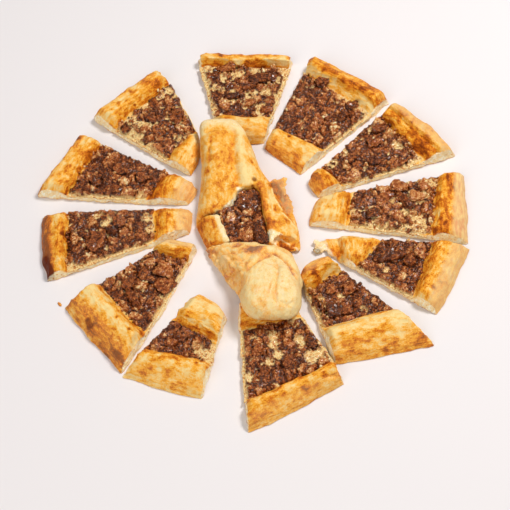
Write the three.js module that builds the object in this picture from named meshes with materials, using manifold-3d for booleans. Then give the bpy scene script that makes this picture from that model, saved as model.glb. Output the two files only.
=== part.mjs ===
// Turkish pide, cut and laid in a ring: twelve crosswise slices of one long flat pide round its two
// uncut ends. Millimetres, +Z up. The slices point outward from the middle, and each keeps a crust
// at both of its ends, because the crust ran along both long sides of the whole pide.
import * as THREE from 'three';
import { mergeVertices } from 'three/addons/utils/BufferGeometryUtils.js';
import Module from 'manifold-3d';

const wasm = await Module();
wasm.setup();
const { Manifold, Mesh } = wasm;

// ---- Driving sizes ----------------------------------------------------------------------------
const BASE_THICKNESS = 5;      // flat dough under the filling
const FILLING_DEPTH = 6;       // minced filling on top of it
const GAP = 0.4;               // air left between pieces that touch
const SIDE_INSET = 0.8;        // filling stops this far inside a cut side
const UNDERCUT = 1.6;          // the crust's wall draws in this far at the bottom
const CUT_LEAN = 1.2;          // a cut side leans out this far at the bottom
const LUMP = 0.9;              // height of the uneven lumps on the dough
const FILLING_LUMP = 1.35;     // and on the filling
const LUMP_SPANS = { crust: 9, ends: 11, filling: 7, heap: 6 };   // how far apart they lie
const LEAST_FILLING = { edge: 1, within: 2 };          // depth where the filling climbs a crust's foot
const ACROSS = 5;              // faces across a slice
const MERGE_WITHIN = 1e-4;     // points this close are one

// Each slice: `at` and `reach` place the middle of its inner edge round the middle of the ring,
// `turn` is the way it points and `length` runs from edge to edge. At each end stand the width of
// the cut, how far that edge is turned off square, its bow, and the crust's depth at its left and
// right side and its height. `skirt` is flat dough that stands out past the crust's wall, and
// `waist` swells the left and right cut. Angles are in degrees.
const slices = [
  { at: 95, reach: 112, turn: 87, length: 110, waist: [0, 0],
    inner: { width: 45, slant: 1, bow: 1, crust: [31, 31], height: 18 },
    outer: { width: 97, slant: -1, bow: 1, crust: [13, 12], height: 15 } },
  { at: 71, reach: 92, turn: 55, length: 125, waist: [0, 0],
    inner: { width: 49, slant: -8, bow: 1, crust: [24, 35], height: 18 },
    outer: { width: 95, slant: -2, bow: 2, crust: [22, 30], height: 18 } },
  { at: 41, reach: 77, turn: 32, length: 134, waist: [0, 0],
    inner: { width: 21, slant: -4, bow: 1, crust: [20, 26], height: 18 },
    outer: { width: 88, slant: 9, bow: 5, crust: [24, 33], height: 18 } },
  { at: 21, reach: 61, turn: 0, length: 148, waist: [0, 0],
    inner: { width: 31, slant: -14, bow: 1, crust: [39, 40], height: 17 },
    outer: { width: 84, slant: -2, bow: 1, crust: [28, 38], height: 17 } },
  { at: -17, reach: 75, turn: -20, length: 122, waist: [0, 0],
    inner: { width: 28, slant: 40, bow: 0, skirt: 11, crust: [52, 27], height: 16 },
    outer: { width: 84, slant: -6, bow: 2, crust: [34, 32], height: 20 } },
  { at: -40, reach: 73, turn: -58, length: 116, waist: [0, 0],
    inner: { width: 35, slant: -3, bow: 5, crust: [16, 27], height: 19 },
    outer: { width: 95, slant: -20, bow: 1, crust: [47, 45], height: 21 } },
  { at: -85, reach: 82, turn: -77, length: 122, waist: [2, 1],
    inner: { width: 47, slant: -13, bow: 1, crust: [31, 33], height: 16 },
    outer: { width: 102, slant: 16, bow: 2, crust: [27, 28], height: 20 } },
  { at: -115, reach: 97, turn: -118, length: 99, waist: [0, 2],
    inner: { width: 36, slant: -11, bow: 4, crust: [40, 34], height: 20 },
    outer: { width: 77, slant: 8, bow: 1, crust: [40, 32], height: 20 } },
  { at: -167, reach: 72, turn: -128, length: 132, waist: [3, -3],
    inner: { width: 34, slant: 30, bow: 2, crust: [17, 19], height: 17 },
    outer: { width: 94, slant: -16, bow: 1, crust: [41, 45], height: 20 } },
  { at: 167, reach: 61, turn: -169, length: 144, waist: [1, 4],
    inner: { width: 26, slant: -17, bow: 1, crust: [39, 40], height: 15 },
    outer: { width: 77, slant: -5, bow: 2, crust: [22, 28], height: 16 } },
  { at: 141, reach: 74, turn: 163, length: 138, waist: [2, 0],
    inner: { width: 22, slant: -1, bow: 2, crust: [43, 35], height: 17 },
    outer: { width: 82, slant: -12, bow: 1, crust: [29, 27], height: 18 } },
  { at: 122, reach: 103, turn: 128, length: 114, waist: [2, 6],
    inner: { width: 34, slant: 31, bow: 2, crust: [27, 25], height: 16 },
    outer: { width: 87, slant: 3, bow: 1, crust: [29, 22], height: 18 } },
];

// The crust's profile from its wall to its foot on the base: how far in, as a share of its depth
// inside the skirt, and how high, as a share of its height above the base.
const crustProfile = [[0.07, 0.6], [0.2, 0.92], [0.42, 1], [0.68, 0.93], [0.88, 0.36], [1, 0]];
const SKIRT_LEVELS = [2.2, 3.4];                       // the skirt's height at its edge and at the wall
const LEAST_SKIRT = 0.7;
const BASE_ROWS = 2;                                   // rows of points on the base between feet
const FILLING_START = crustProfile.length;             // the filling begins low on the crust's flank

// The upper end, from its closed tip down to where it was cut: `y` is the station, `left` and
// `right` its sides, `low` its underside, `top` its crest, `round` how boxy its section is, and
// `flap` the width of the thin strip at its right.
const upperEnd = [
  { y: 125, left: -47, right: -17, low: 20, top: 24, round: 2.4, flap: 0 },
  { y: 120, left: -51, right: -12, low: 19, top: 28, round: 2.6, flap: 0 },
  { y: 106, left: -51, right: -4, low: 17, top: 29, round: 2.6, flap: 0 },
  { y: 88, left: -50, right: 4, low: 6, top: 28, round: 2.4, flap: 0 },
  { y: 66, left: -50, right: 11, low: 0, top: 26, round: 2.4, flap: 0 },
  { y: 50, left: -51, right: 30, low: 0, top: 25, round: 2.6, flap: 11 },
  { y: 30, left: -54, right: 37, low: 0, top: 23, round: 2.8, flap: 12 },
  { y: 10, left: -56, right: 41, low: 0, top: 21, round: 3, flap: 7 },
  { y: -6, left: -51, right: 44, low: 0, top: 20, round: 3, flap: 3 },
  { y: -26, left: -43, right: 45, low: 0, top: 18, round: 3, flap: 2 },
];
const FLAP_THICKNESS = 4;      // thin dough that stands out at the upper end's right side
const UPPER_FACES = [14, 20];  // across and along
const LOWER_FACES = [12, 16];
const RIM_SHARE = 0.2;         // an end's height at its sides, as a share of its crest's

// The lower end, from where it meets the upper one out to its closed bulb.
const lowerEnd = [
  { y: -18, left: -48, right: 30, low: 0, top: 17, round: 2, flap: 0 },
  { y: -36, left: -40, right: 38, low: 0, top: 25, round: 2, flap: 0 },
  { y: -52, left: -31, right: 42, low: 0, top: 31, round: 2.2, flap: 0 },
  { y: -68, left: -22, right: 43, low: 0, top: 36, round: 2.4, flap: 0 },
  { y: -84, left: -16, right: 43, low: 10, top: 39, round: 2.6, flap: 0 },
  { y: -98, left: -14, right: 43, low: 17, top: 39, round: 2.8, flap: 0 },
  { y: -110, left: -9, right: 39, low: 18, top: 35, round: 2.8, flap: 0 },
  { y: -117, left: 1, right: 30, low: 20, top: 27, round: 2.4, flap: 0 },
];

// The two ends part along this line, from the left side to the right. Its blocks reach `far` out.
const PARTING = { left: -19, right: -29, halfWidth: 48, far: 200 };

// The slices, counted from 0, whose inner crusts each end rests on.
const UNDER_UPPER_END = [0, 1, 11];
const UNDER_LOWER_END = [5, 6, 7];

// The hollow in the upper end where its cover is torn back and the filling shows.
const hollowOutline = [[-12, -40], [9, -40], [14, -10], [9, 12], [6, 37], [-11, 37], [-20, 21], [-33, 9]];
const HOLLOW_MIDDLE = [-6, 4];
const HOLLOW_FACES = 22;       // round its wall
const HOLLOW_FLOOR = 6;
const HOLLOW_TOP = 40;
const HOLLOW_FLARE = 1.1;      // the hollow is this much wider at its top than at its floor
const HEAP_LEVEL = 12;         // the filling's mean height there
const HEAP_REACH = 60;         // the heap's block runs this far each way before it is cut to the hollow
const HEAP_FACES = 10;

const DOUGH_COLOUR = 0xd9a04c;
const PALE_DOUGH_COLOUR = 0xe3c48c;
const FILLING_COLOUR = 0x6a4632;
const DOUGH_ROUGHNESS = 0.75;
const FILLING_ROUGHNESS = 0.55;

// ---- Small helpers ----------------------------------------------------------------------------
const radians = THREE.MathUtils.degToRad;
const lerp = THREE.MathUtils.lerp;

// Gentle unevenness, the same each time, different at every place.
function lumps(x, y, size) {
  const along = Math.sin(x / size + 1.3 * Math.cos(y / (1.7 * size)));
  const across = Math.cos(y / size + 1.1 * Math.sin(x / (1.3 * size)));
  return 0.5 * (along + across);
}

// A box of `columns` by `rows` faces, whose points are moved to where `place` puts them. `place`
// takes the point's share across, its share along, and 0 for the underside or 1 for the top.
function warpedBox(columns, rows, place) {
  const box = new THREE.BoxGeometry(1, 1, 1, columns, rows, 1);
  const points = box.attributes.position;
  for (let i = 0; i < points.count; i += 1) {
    const spot = place(points.getX(i) + 0.5, points.getY(i) + 0.5, points.getZ(i) + 0.5);
    points.setXYZ(i, spot.x, spot.y, spot.z);
  }
  box.deleteAttribute('uv');
  box.deleteAttribute('normal');
  return mergeVertices(box, MERGE_WITHIN);
}

function toManifold(geometry) {
  geometry.deleteAttribute('uv');
  geometry.deleteAttribute('normal');
  const merged = mergeVertices(geometry, MERGE_WITHIN);
  const solid = new Mesh({
    numProp: 3,
    vertProperties: new Float32Array(merged.attributes.position.array),
    triVerts: new Uint32Array(merged.index.array),
  });
  return new Manifold(solid);
}

function fromManifold(solid) {
  const mesh = solid.getMesh();
  const geometry = new THREE.BufferGeometry();
  geometry.setAttribute('position', new THREE.BufferAttribute(mesh.vertProperties, 3));
  geometry.setIndex(new THREE.BufferAttribute(mesh.triVerts, 1));
  return geometry;
}

// ---- Slices -----------------------------------------------------------------------------------
// The slice's four corners in plan, widened all round by `spare`.
function sliceFrame(slice, spare) {
  const start = radians(slice.at);
  const turn = radians(slice.turn);
  const middle = new THREE.Vector2(Math.cos(start), Math.sin(start)).multiplyScalar(slice.reach);
  const ahead = new THREE.Vector2(Math.cos(turn), Math.sin(turn));
  const innerMiddle = middle.clone().addScaledVector(ahead, -spare);
  const outerMiddle = middle.clone().addScaledVector(ahead, slice.length + spare);
  const side = (end) => {
    const angle = turn + Math.PI / 2 + radians(end.slant);
    return new THREE.Vector2(Math.cos(angle), Math.sin(angle)).multiplyScalar(end.width / 2 + spare);
  };
  return { innerMiddle, outerMiddle, innerSide: side(slice.inner), outerSide: side(slice.outer), ahead };
}

// The spot at `share` of the way along and `across` from the right cut (0) to the left one (1).
function sliceSpot(slice, frame, share, across) {
  const swing = 2 * across - 1;
  const inner = frame.innerMiddle.clone().addScaledVector(frame.innerSide, swing);
  const outer = frame.outerMiddle.clone().addScaledVector(frame.outerSide, swing);
  const spot = inner.lerp(outer, share);
  const bow = lerp(-slice.inner.bow, slice.outer.bow, share) * (1 - swing * swing);
  spot.addScaledVector(frame.ahead, bow);
  const left = new THREE.Vector2(-frame.ahead.y, frame.ahead.x);
  const waist = 4 * share * (1 - share);
  spot.addScaledVector(left, waist * (across * slice.waist[0] - (1 - across) * slice.waist[1]));
  return spot;
}

// The rows of points of one crust, from its edge inward: the distance in from the edge at a place
// `across` the slice, and the height above the table.
function crustRows(end) {
  const skirt = Math.max(end.skirt ?? 0, LEAST_SKIRT);
  const depth = (across) => lerp(end.crust[1], end.crust[0], across) - skirt;
  const rise = end.height - BASE_THICKNESS;
  return [
    { inward: () => 0, height: SKIRT_LEVELS[0], lumpy: 0 },
    { inward: () => skirt, height: SKIRT_LEVELS[1], lumpy: 0 },
    ...crustProfile.map(([share, level]) => ({
      inward: (across) => skirt + share * depth(across),
      height: BASE_THICKNESS + level * rise,
      lumpy: level,
    })),
  ];
}

// All rows of a slice from its inner edge to its outer edge, as shares of its length.
function sliceRows(slice) {
  const inner = crustRows(slice.inner).map((row) => (
    { ...row, share: (across) => row.inward(across) / slice.length }));
  const outer = crustRows(slice.outer).reverse().map((row) => (
    { ...row, share: (across) => 1 - row.inward(across) / slice.length }));
  const base = [];
  for (let i = 1; i <= BASE_ROWS; i += 1) {
    const part = i / (BASE_ROWS + 1);
    const share = (across) => lerp(inner.at(-1).share(across), outer[0].share(across), part);
    base.push({ share, height: BASE_THICKNESS, lumpy: 0 });
  }
  return [...inner, ...base, ...outer];
}

function doughHeight(row, spot, spare) {
  return row.height + row.lumpy * LUMP * lumps(spot.x, spot.y, LUMP_SPANS.crust) + spare;
}

function sliceDough(slice, spare = 0) {
  const frame = sliceFrame(slice, spare);
  const rows = sliceRows(slice);
  return warpedBox(ACROSS, rows.length - 1, (right, along, up) => {
    const index = Math.round(along * (rows.length - 1));
    const row = rows[index];
    const across = 1 - right;
    const spot = sliceSpot(slice, frame, row.share(across), across);
    const z = up > 0.5 ? doughHeight(row, spot, spare) : 0;
    const wall = index === 0 ? -1 : Number(index === rows.length - 1);
    spot.addScaledVector(frame.ahead, -wall * (up > 0.5 ? 0 : UNDERCUT));
    const cut = across === 0 || across === 1;
    const lean = cut && up > 0.5 ? CUT_LEAN * Math.sign(0.5 - across) : 0;
    const left = new THREE.Vector2(-frame.ahead.y, frame.ahead.x);
    spot.addScaledVector(left, lean);
    return new THREE.Vector3(spot.x, spot.y, z);
  });
}

function sliceFilling(slice) {
  const frame = sliceFrame(slice, -SIDE_INSET - CUT_LEAN);
  const rows = sliceRows(slice).slice(FILLING_START, -FILLING_START);
  return warpedBox(ACROSS, rows.length - 1, (right, along, up) => {
    const index = Math.round(along * (rows.length - 1));
    const row = rows[index];
    const across = 1 - right;
    const spot = sliceSpot(slice, frame, row.share(across), across);
    const under = doughHeight(row, spot, GAP);
    const edge = index === 0 || index === rows.length - 1;
    const uneven = FILLING_LUMP * lumps(spot.x, spot.y, LUMP_SPANS.filling);
    const least = under + (edge ? LEAST_FILLING.edge : LEAST_FILLING.within);
    const z = up > 0.5 ? Math.max(BASE_THICKNESS + FILLING_DEPTH + uneven, least) : under;
    return new THREE.Vector3(spot.x, spot.y, z);
  });
}

// ---- The two ends -----------------------------------------------------------------------------
// A lofted form through stations. Its section is a rounded box that stands on a thinner rim, and
// the flap is a thin strip outside the body on the right.
function loftedEnd(stations, [columns, rows]) {
  const curve = (name) => new THREE.SplineCurve(stations.map((s, i) => new THREE.Vector2(i, s[name])));
  const curves = Object.fromEntries(Object.keys(stations[0]).map((name) => [name, curve(name)]));
  return warpedBox(columns, rows, (across, along, up) => {
    const at = (name) => curves[name].getPoint(1 - along).y;
    const x = lerp(at('left'), at('right'), across);
    const low = Math.max(0, at('low'));
    const bodyRight = at('right') - Math.max(0, at('flap'));
    const swing = Math.min(1, (2 * (x - at('left'))) / (bodyRight - at('left')) - 1);
    const dome = Math.max(0, 1 - Math.abs(swing) ** at('round')) ** (1 / at('round'));
    const uneven = LUMP * lumps(x, at('y'), LUMP_SPANS.ends) * dome;
    const crest = low + (at('top') - low) * lerp(RIM_SHARE, 1, dome) + uneven;
    const z = x > bodyRight ? low + FLAP_THICKNESS : crest;
    return new THREE.Vector3(x, at('y'), up > 0.5 ? z : low);
  });
}

// A tall block on one side of the parting line, `spare` clear of it.
function partingBlock(sign, spare) {
  const { left, right, halfWidth, far } = PARTING;
  const slope = (right - left) / (2 * halfWidth);
  const line = (x) => left + slope * (x + halfWidth) + sign * spare;
  const outline = new THREE.Shape([
    new THREE.Vector2(-far, line(-far)),
    new THREE.Vector2(far, line(far)),
    new THREE.Vector2(far, sign * far),
    new THREE.Vector2(-far, sign * far),
  ]);
  const block = new THREE.ExtrudeGeometry(outline, { depth: 2 * far, bevelEnabled: false });
  block.translate(0, 0, -far);
  return toManifold(block);
}

// The hollow as a flared plug, `inset` inside its outline and standing on `floor`.
function hollowPlug(inset, floor) {
  const middle = new THREE.Vector2(...HOLLOW_MIDDLE);
  const corners = hollowOutline.map(([x, y]) => new THREE.Vector2(x, y));
  const rounded = new THREE.SplineCurve([...corners, corners[0]]).getPoints(HOLLOW_FACES);
  const shape = new THREE.Shape(rounded.slice(0, -1));
  const plug = new THREE.ExtrudeGeometry(shape, { depth: 1, bevelEnabled: false });
  const points = plug.attributes.position;
  for (let i = 0; i < points.count; i += 1) {
    const spot = new THREE.Vector2(points.getX(i), points.getY(i)).sub(middle);
    const top = points.getZ(i) > 0.5;
    const size = spot.length();
    spot.multiplyScalar(((top ? HOLLOW_FLARE : 1) * size - inset) / size).add(middle);
    points.setXYZ(i, spot.x, spot.y, top ? HOLLOW_TOP : floor);
  }
  return toManifold(plug);
}

// Everything under the filling's uneven top surface in the hollow.
function heapBlock() {
  const heap = warpedBox(HEAP_FACES, HEAP_FACES, (across, along, up) => {
    const x = lerp(-HEAP_REACH, HEAP_REACH, across);
    const y = lerp(-HEAP_REACH, HEAP_REACH, along);
    const z = up > 0.5 ? HEAP_LEVEL + FILLING_LUMP * lumps(x, y, LUMP_SPANS.heap) : 0;
    return new THREE.Vector3(x, y, z);
  });
  return toManifold(heap);
}

const besideParting = (sign) => partingBlock(sign, GAP / 2);

// The dough of some slices, swollen by the gap that the ends keep to them.
const crusts = (indexes) => indexes.map((i) => toManifold(sliceDough(slices[i], GAP)));

function upperEndDough() {
  let solid = toManifold(loftedEnd(upperEnd, UPPER_FACES)).intersect(besideParting(1));
  for (const crust of crusts(UNDER_UPPER_END)) solid = solid.subtract(crust);
  return fromManifold(solid.subtract(hollowPlug(0, HOLLOW_FLOOR)));
}

function upperEndFilling() {
  const plug = hollowPlug(GAP, HOLLOW_FLOOR + GAP).intersect(heapBlock());
  return fromManifold(plug.intersect(partingBlock(1, GAP / 2 + SIDE_INSET)));
}

function lowerEndDough() {
  let solid = toManifold(loftedEnd(lowerEnd, LOWER_FACES)).intersect(besideParting(-1));
  for (const crust of crusts(UNDER_LOWER_END)) solid = solid.subtract(crust);
  return fromManifold(solid);
}

// ---- Assembly ---------------------------------------------------------------------------------
function piece(name, geometry, color, roughness) {
  const mesh = new THREE.Mesh(geometry, new THREE.MeshStandardMaterial({ color, roughness, metalness: 0 }));
  mesh.name = name;
  return mesh;
}

const pide = new THREE.Group();
slices.forEach((slice, i) => {
  const number = String(i + 1).padStart(2, '0');
  pide.add(piece(`slice_${number}_dough`, sliceDough(slice), DOUGH_COLOUR, DOUGH_ROUGHNESS));
  pide.add(piece(`slice_${number}_filling`, sliceFilling(slice), FILLING_COLOUR, FILLING_ROUGHNESS));
});
pide.add(piece('upper_end_dough', upperEndDough(), DOUGH_COLOUR, DOUGH_ROUGHNESS));
pide.add(piece('upper_end_filling', upperEndFilling(), FILLING_COLOUR, FILLING_ROUGHNESS));
pide.add(piece('lower_end_dough', lowerEndDough(), PALE_DOUGH_COLOUR, DOUGH_ROUGHNESS));

// The whole stands with the middle of its box over the origin and its underside at zero.
const extent = new THREE.Box3().setFromObject(pide);
const centre = extent.getCenter(new THREE.Vector3());
pide.position.set(-centre.x, -centre.y, -extent.min.z);

export default pide;
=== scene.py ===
"""A sliced Turkish pide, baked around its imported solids.

Twelve slices lie in a ring round the two uncut ends. Each dough piece starts as a copy of its solid,
which is remeshed into one skin, modelled by function and painted with how browned it is. Each
filling is a low bed of minced meat with grains, chunks and pale patches on it.
"""

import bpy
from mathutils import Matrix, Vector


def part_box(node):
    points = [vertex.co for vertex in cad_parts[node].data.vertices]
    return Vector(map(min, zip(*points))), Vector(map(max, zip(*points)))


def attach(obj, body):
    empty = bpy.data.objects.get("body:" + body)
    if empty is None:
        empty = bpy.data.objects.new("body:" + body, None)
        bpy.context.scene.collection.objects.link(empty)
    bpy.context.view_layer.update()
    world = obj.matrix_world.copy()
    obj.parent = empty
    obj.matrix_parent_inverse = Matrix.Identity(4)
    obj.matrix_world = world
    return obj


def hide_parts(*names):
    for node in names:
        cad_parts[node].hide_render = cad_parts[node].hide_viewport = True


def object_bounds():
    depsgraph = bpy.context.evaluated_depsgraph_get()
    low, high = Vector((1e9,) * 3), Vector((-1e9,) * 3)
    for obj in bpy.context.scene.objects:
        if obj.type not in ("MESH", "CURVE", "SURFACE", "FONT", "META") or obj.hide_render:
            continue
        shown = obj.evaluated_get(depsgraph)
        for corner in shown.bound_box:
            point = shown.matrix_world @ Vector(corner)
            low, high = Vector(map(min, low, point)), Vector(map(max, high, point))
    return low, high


bl_info = {
    "name": "Turkish Pide",
    "version": (1, 0, 0),
    "blender": (4, 5, 0),
    "location": "View3D > Sidebar > Pide",
    "description": "Bakes a sliced Turkish pide with a minced filling",
    "category": "Add Mesh",
}

import copy
import math

import bpy
import numpy as np
from mathutils import Euler, Vector
from mathutils.geometry import convex_hull_2d

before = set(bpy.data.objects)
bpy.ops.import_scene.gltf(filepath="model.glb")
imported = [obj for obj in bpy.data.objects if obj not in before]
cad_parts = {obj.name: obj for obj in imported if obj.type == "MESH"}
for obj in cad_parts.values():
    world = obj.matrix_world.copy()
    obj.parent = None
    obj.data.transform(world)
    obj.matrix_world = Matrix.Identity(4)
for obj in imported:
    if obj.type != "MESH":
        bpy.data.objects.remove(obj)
CAD_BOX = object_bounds()
MM = 0.001
SLICE_COUNT = 12
ENDS = ("in", "out")                   # a slice's crusts: toward the middle of the ring and away from it
CORNER_GAP = 1.5                       # points of an outline nearer than this are one, in mm
WELD_GAP = 0.02                        # points of a solid nearer than this are one, in mm


# ---- Settings ---------------------------------------------------------------------------------
def colour_prop(name, description, default):
    return bpy.props.FloatVectorProperty(
        name=name, description=description, default=default, size=3, min=0, max=1, subtype="COLOR_GAMMA")


def size_prop(name, description, default_mm):
    return bpy.props.FloatProperty(
        name=name, description=description, default=default_mm * MM, min=0, unit="LENGTH", precision=5)


class DoughSettings(bpy.types.PropertyGroup):
    skin: size_prop("Skin", "Size of the faces of the dough's skin", 0.95)
    lump: size_prop("Lump", "Height of the crust's lumps", 1.1)
    wrinkle: size_prop("Wrinkle", "Height of the wrinkles along a crust", 0.55)
    pit: size_prop("Pit", "Depth of the pores in a cut", 0.7)
    cream: colour_prop("Cream", "Palest crust", (0.96, 0.84, 0.57))
    gold: colour_prop("Gold", "Usual crust", (0.96, 0.67, 0.20))
    amber: colour_prop("Amber", "Well baked crust", (0.82, 0.43, 0.07))
    brown: colour_prop("Brown", "Browned ridge", (0.52, 0.22, 0.04))
    # Also the painted shade in the crack where the upper end tore off its block.
    burnt: colour_prop("Burnt", "Burnt spot", (0.38, 0.12, 0.03))
    rosy: colour_prop("Rosy", "Pale crust that the oven barely reached", (0.87, 0.62, 0.43))
    crumb: colour_prop("Crumb", "Crumb at a cut", (0.99, 0.89, 0.68))
    pale_crumb: colour_prop("Pale crumb", "Whitest crumb", (1.0, 0.98, 0.89))


class FillingSettings(bpy.types.PropertyGroup):
    skin: size_prop("Skin", "Size of the faces of the end's meat", 0.9)
    grain: size_prop("Grain", "Usual width of a grain of minced meat", 3.0)
    spacing: size_prop("Spacing", "Distance between grains", 3.7)
    bed: size_prop("Bed", "Height of the meat bed over the dough", 4.6)
    # The darkest meat; in the gaps of the mince it serves as painted shade.
    dark: colour_prop("Dark", "Meat in the gaps", (0.23, 0.06, 0.0))
    mid: colour_prop("Middle", "Usual meat", (0.66, 0.32, 0.10))
    light: colour_prop("Light", "Palest meat", (0.88, 0.63, 0.36))
    # Pale flecks, partly real and partly painted glints on the meat and on its pale patches.
    fat_and_glint: colour_prop("Fat", "Pale flecks of fat", (1.0, 0.94, 0.73))
    pale: colour_prop("Pale patch", "Melted cheese and bare dough", (0.93, 0.80, 0.51))


class StageSettings(bpy.types.PropertyGroup):
    floor: colour_prop("Floor", "Floor colour", (0.92, 0.895, 0.89))
    distance: size_prop("Distance", "Camera distance", 2017.4)
    lens: bpy.props.FloatProperty(name="Lens", description="Focal length on a 36 mm sensor", default=148.7)
    elevation: bpy.props.FloatProperty(
        name="Elevation", description="Camera height angle", default=math.radians(52.39), subtype="ANGLE")
    roll: bpy.props.FloatProperty(
        name="Roll", description="Camera roll", default=math.radians(-1.5), subtype="ANGLE")


# ---- Small tools ------------------------------------------------------------------------------
def linear(colour):
    """A shown colour as the shaders' linear one."""
    return tuple(c / 12.92 if c <= 0.04045 else ((c + 0.055) / 1.055) ** 2.4 for c in colour) + (1.0,)


def only(piece):
    """Selects this piece alone and makes it active."""
    bpy.ops.object.select_all(action="DESELECT")
    piece.select_set(True)
    bpy.context.view_layer.objects.active = piece


def apply_modifier(piece, kind, **values):
    only(piece)
    modifier = piece.modifiers.new(kind.title(), kind)
    for name, value in values.items():
        setattr(modifier, name, value)
    bpy.ops.object.modifier_apply(modifier=modifier.name)


def points_of(piece):
    """The piece's points in millimetres."""
    mesh = piece.data
    values = np.empty(3 * len(mesh.vertices), np.float32)
    mesh.vertices.foreach_get("co", values)
    return values.reshape(-1, 3).astype(float) / MM


def normals_of(piece):
    mesh = piece.data
    values = np.empty(3 * len(mesh.vertices), np.float32)
    mesh.vertices.foreach_get("normal", values)
    return values.reshape(-1, 3).astype(float)


def boxed(points):
    """The points in mm, with those that are past the CAD's box moved to its side."""
    low, high = (np.array(corner) / MM for corner in CAD_BOX)
    return np.clip(points, low, high)


def move_points(piece, points):
    piece.data.vertices.foreach_set("co", (boxed(points) * MM).astype(np.float32).ravel())
    piece.data.update()


def new_piece(name, points, faces):
    """A smooth mesh of points in mm."""
    mesh = bpy.data.meshes.new(name)
    mesh.from_pydata((points * MM).tolist(), [], faces)
    mesh.shade_smooth()
    piece = bpy.data.objects.new(name, mesh)
    bpy.context.scene.collection.objects.link(piece)
    return piece


def paint(piece, name, values):
    """Stores a value for each point, which the materials read."""
    layer = piece.data.attributes.new(name, "FLOAT", "POINT")
    layer.data.foreach_set("value", np.clip(values, 0, 1).astype(np.float32))


def paint_fibres(piece, fibres):
    """Stores where each point lies along the dough's fibres, in metres."""
    layer = piece.data.attributes.new("fibre", "FLOAT_VECTOR", "POINT")
    layer.data.foreach_set("vector", (fibres * MM).astype(np.float32).ravel())


def smooth_step(low, high, values):
    share = np.clip((values - low) / (high - low), 0, 1)
    return share * share * (3 - 2 * share)


def scramble(x, y, z, seed):
    """A repeatable number from 0 to 1 for each cell."""
    mixed = (x * 374761393 + y * 668265263 + z * 1440662683 + seed * 974634777) & 0xFFFFFFFF
    mixed = ((mixed ^ (mixed >> 13)) * 1274126177) & 0xFFFFFFFF
    mixed = ((mixed ^ (mixed >> 16)) * 2246822519) & 0xFFFFFFFF
    return ((mixed ^ (mixed >> 15)) & 0xFFFFFFFF) / 0xFFFFFFFF


def noise(points, size, seed):
    """Smooth noise from -1 to 1 with features about `size` wide."""
    places = points / size + 0.37 * seed
    cell = np.floor(places).astype(np.int64)
    part = places - cell
    part = part * part * part * (part * (part * 6 - 15) + 10)
    total = np.zeros(len(points))
    for corner in range(8):
        dx, dy, dz = corner & 1, corner >> 1 & 1, corner >> 2 & 1
        weight = ((part[:, 0] if dx else 1 - part[:, 0]) * (part[:, 1] if dy else 1 - part[:, 1])
                  * (part[:, 2] if dz else 1 - part[:, 2]))
        total += weight * scramble(cell[:, 0] + dx, cell[:, 1] + dy, cell[:, 2] + dz, seed)
    return 2 * total - 1


def rough_noise(points, size, seed, octaves=3):
    """Noise with finer noise on it, still about -1 to 1."""
    total = sum(noise(points, size / 2 ** i, seed + i) / 2 ** i for i in range(octaves))
    return total / 1.4


def cells(points, size, seed):
    """How near each point is to its cell's middle, 1 there and 0 at the edges, and the cell's own number."""
    places = points / size
    base = np.floor(places).astype(np.int64)
    nearest = np.full(len(points), np.inf)
    second = np.full(len(points), np.inf)
    number = np.zeros(len(points))
    for corner in range(27):
        cell = base + np.array([corner % 3 - 1, corner // 3 % 3 - 1, corner // 9 - 1])
        jitter = np.stack([scramble(*cell.T, seed + k) for k in range(3)], 1)
        away = np.linalg.norm(cell + jitter - places, axis=1)
        closer = away < nearest
        second = np.where(closer, nearest, np.minimum(second, away))
        number = np.where(closer, scramble(*cell.T, seed + 7), number)
        nearest = np.where(closer, away, nearest)
    return np.clip(second - nearest, 0, 1), number


def low_corner(node):
    """The low corner of a node's box, in mm."""
    return np.array(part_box(node)[0]) / MM


TEAR_SIZE = 4.5                        # width of the raggedness of torn and rough dough, in mm


class Mark:
    """A ridge, groove or spot along a route in plan: its half width and height in mm, how much browner,
    scorched, rosy or crumby it leaves the dough, how far it tears the edge sideways and how rough it is. On
    some creases, cracks and hollows the browning and scorching are painted shade."""

    def __init__(self, route, width, height=0.0, bake=0.0, burn=0.0,
                 rosy=0.0, crumb=0.0, tear=0.0, rough=0.0):
        self.route = [np.array(place, float) for place in route]
        self.width, self.height, self.tear, self.rough = width, height, tear, rough
        self.bake, self.burn, self.rosy, self.crumb = bake, burn, rosy, crumb

    def moved(self, corner):
        """The same mark with its route counted from this corner."""
        mark = copy.copy(self)
        mark.route = [place + corner[:2] for place in self.route]
        return mark

    def share(self, points, ragged=0.0):
        """1 on the route, falling to 0 about two widths away."""
        flat = points[:, :2]
        away = np.full(len(flat), np.inf)
        ends = list(zip(self.route, self.route[1:])) or [(self.route[0], self.route[0])]
        for start, end in ends:
            step = end - start
            size = step @ step
            part = np.clip((flat - start) @ step / size, 0, 1) if size else np.zeros(len(flat))
            away = np.minimum(away, np.linalg.norm(flat - start - part[:, None] * step, axis=1))
        return np.exp(-(away * (1 + ragged) / self.width) ** 2)


def leave_marks(points, normals, marks, paints, seed):
    """Presses the marks into the upper side and colours it there."""
    upward = smooth_step(-0.1, 0.3, normals[:, 2])
    ragged = 0.35 * rough_noise(points, 5, seed + 90)
    for mark in marks:
        share = mark.share(points, ragged)
        if mark.tear:
            for axis in (0, 1):
                points[:, axis] += mark.tear * rough_noise(points, TEAR_SIZE, seed + 50 + axis) * share
        points += normals * (mark.height * share * upward)[:, None]
        if mark.rough:
            points += normals * (mark.rough * rough_noise(points, TEAR_SIZE, seed + 70) * share)[:, None]
        spot = smooth_step(0.3, 0.7, share)
        paints["rosy"] += mark.rosy * spot
        paints["crumb"] += mark.crumb * spot
        paints["burn"] += mark.burn * smooth_step(0.3, 0.75, share) * upward
        paints["bake"] += mark.bake * share * upward


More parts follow.
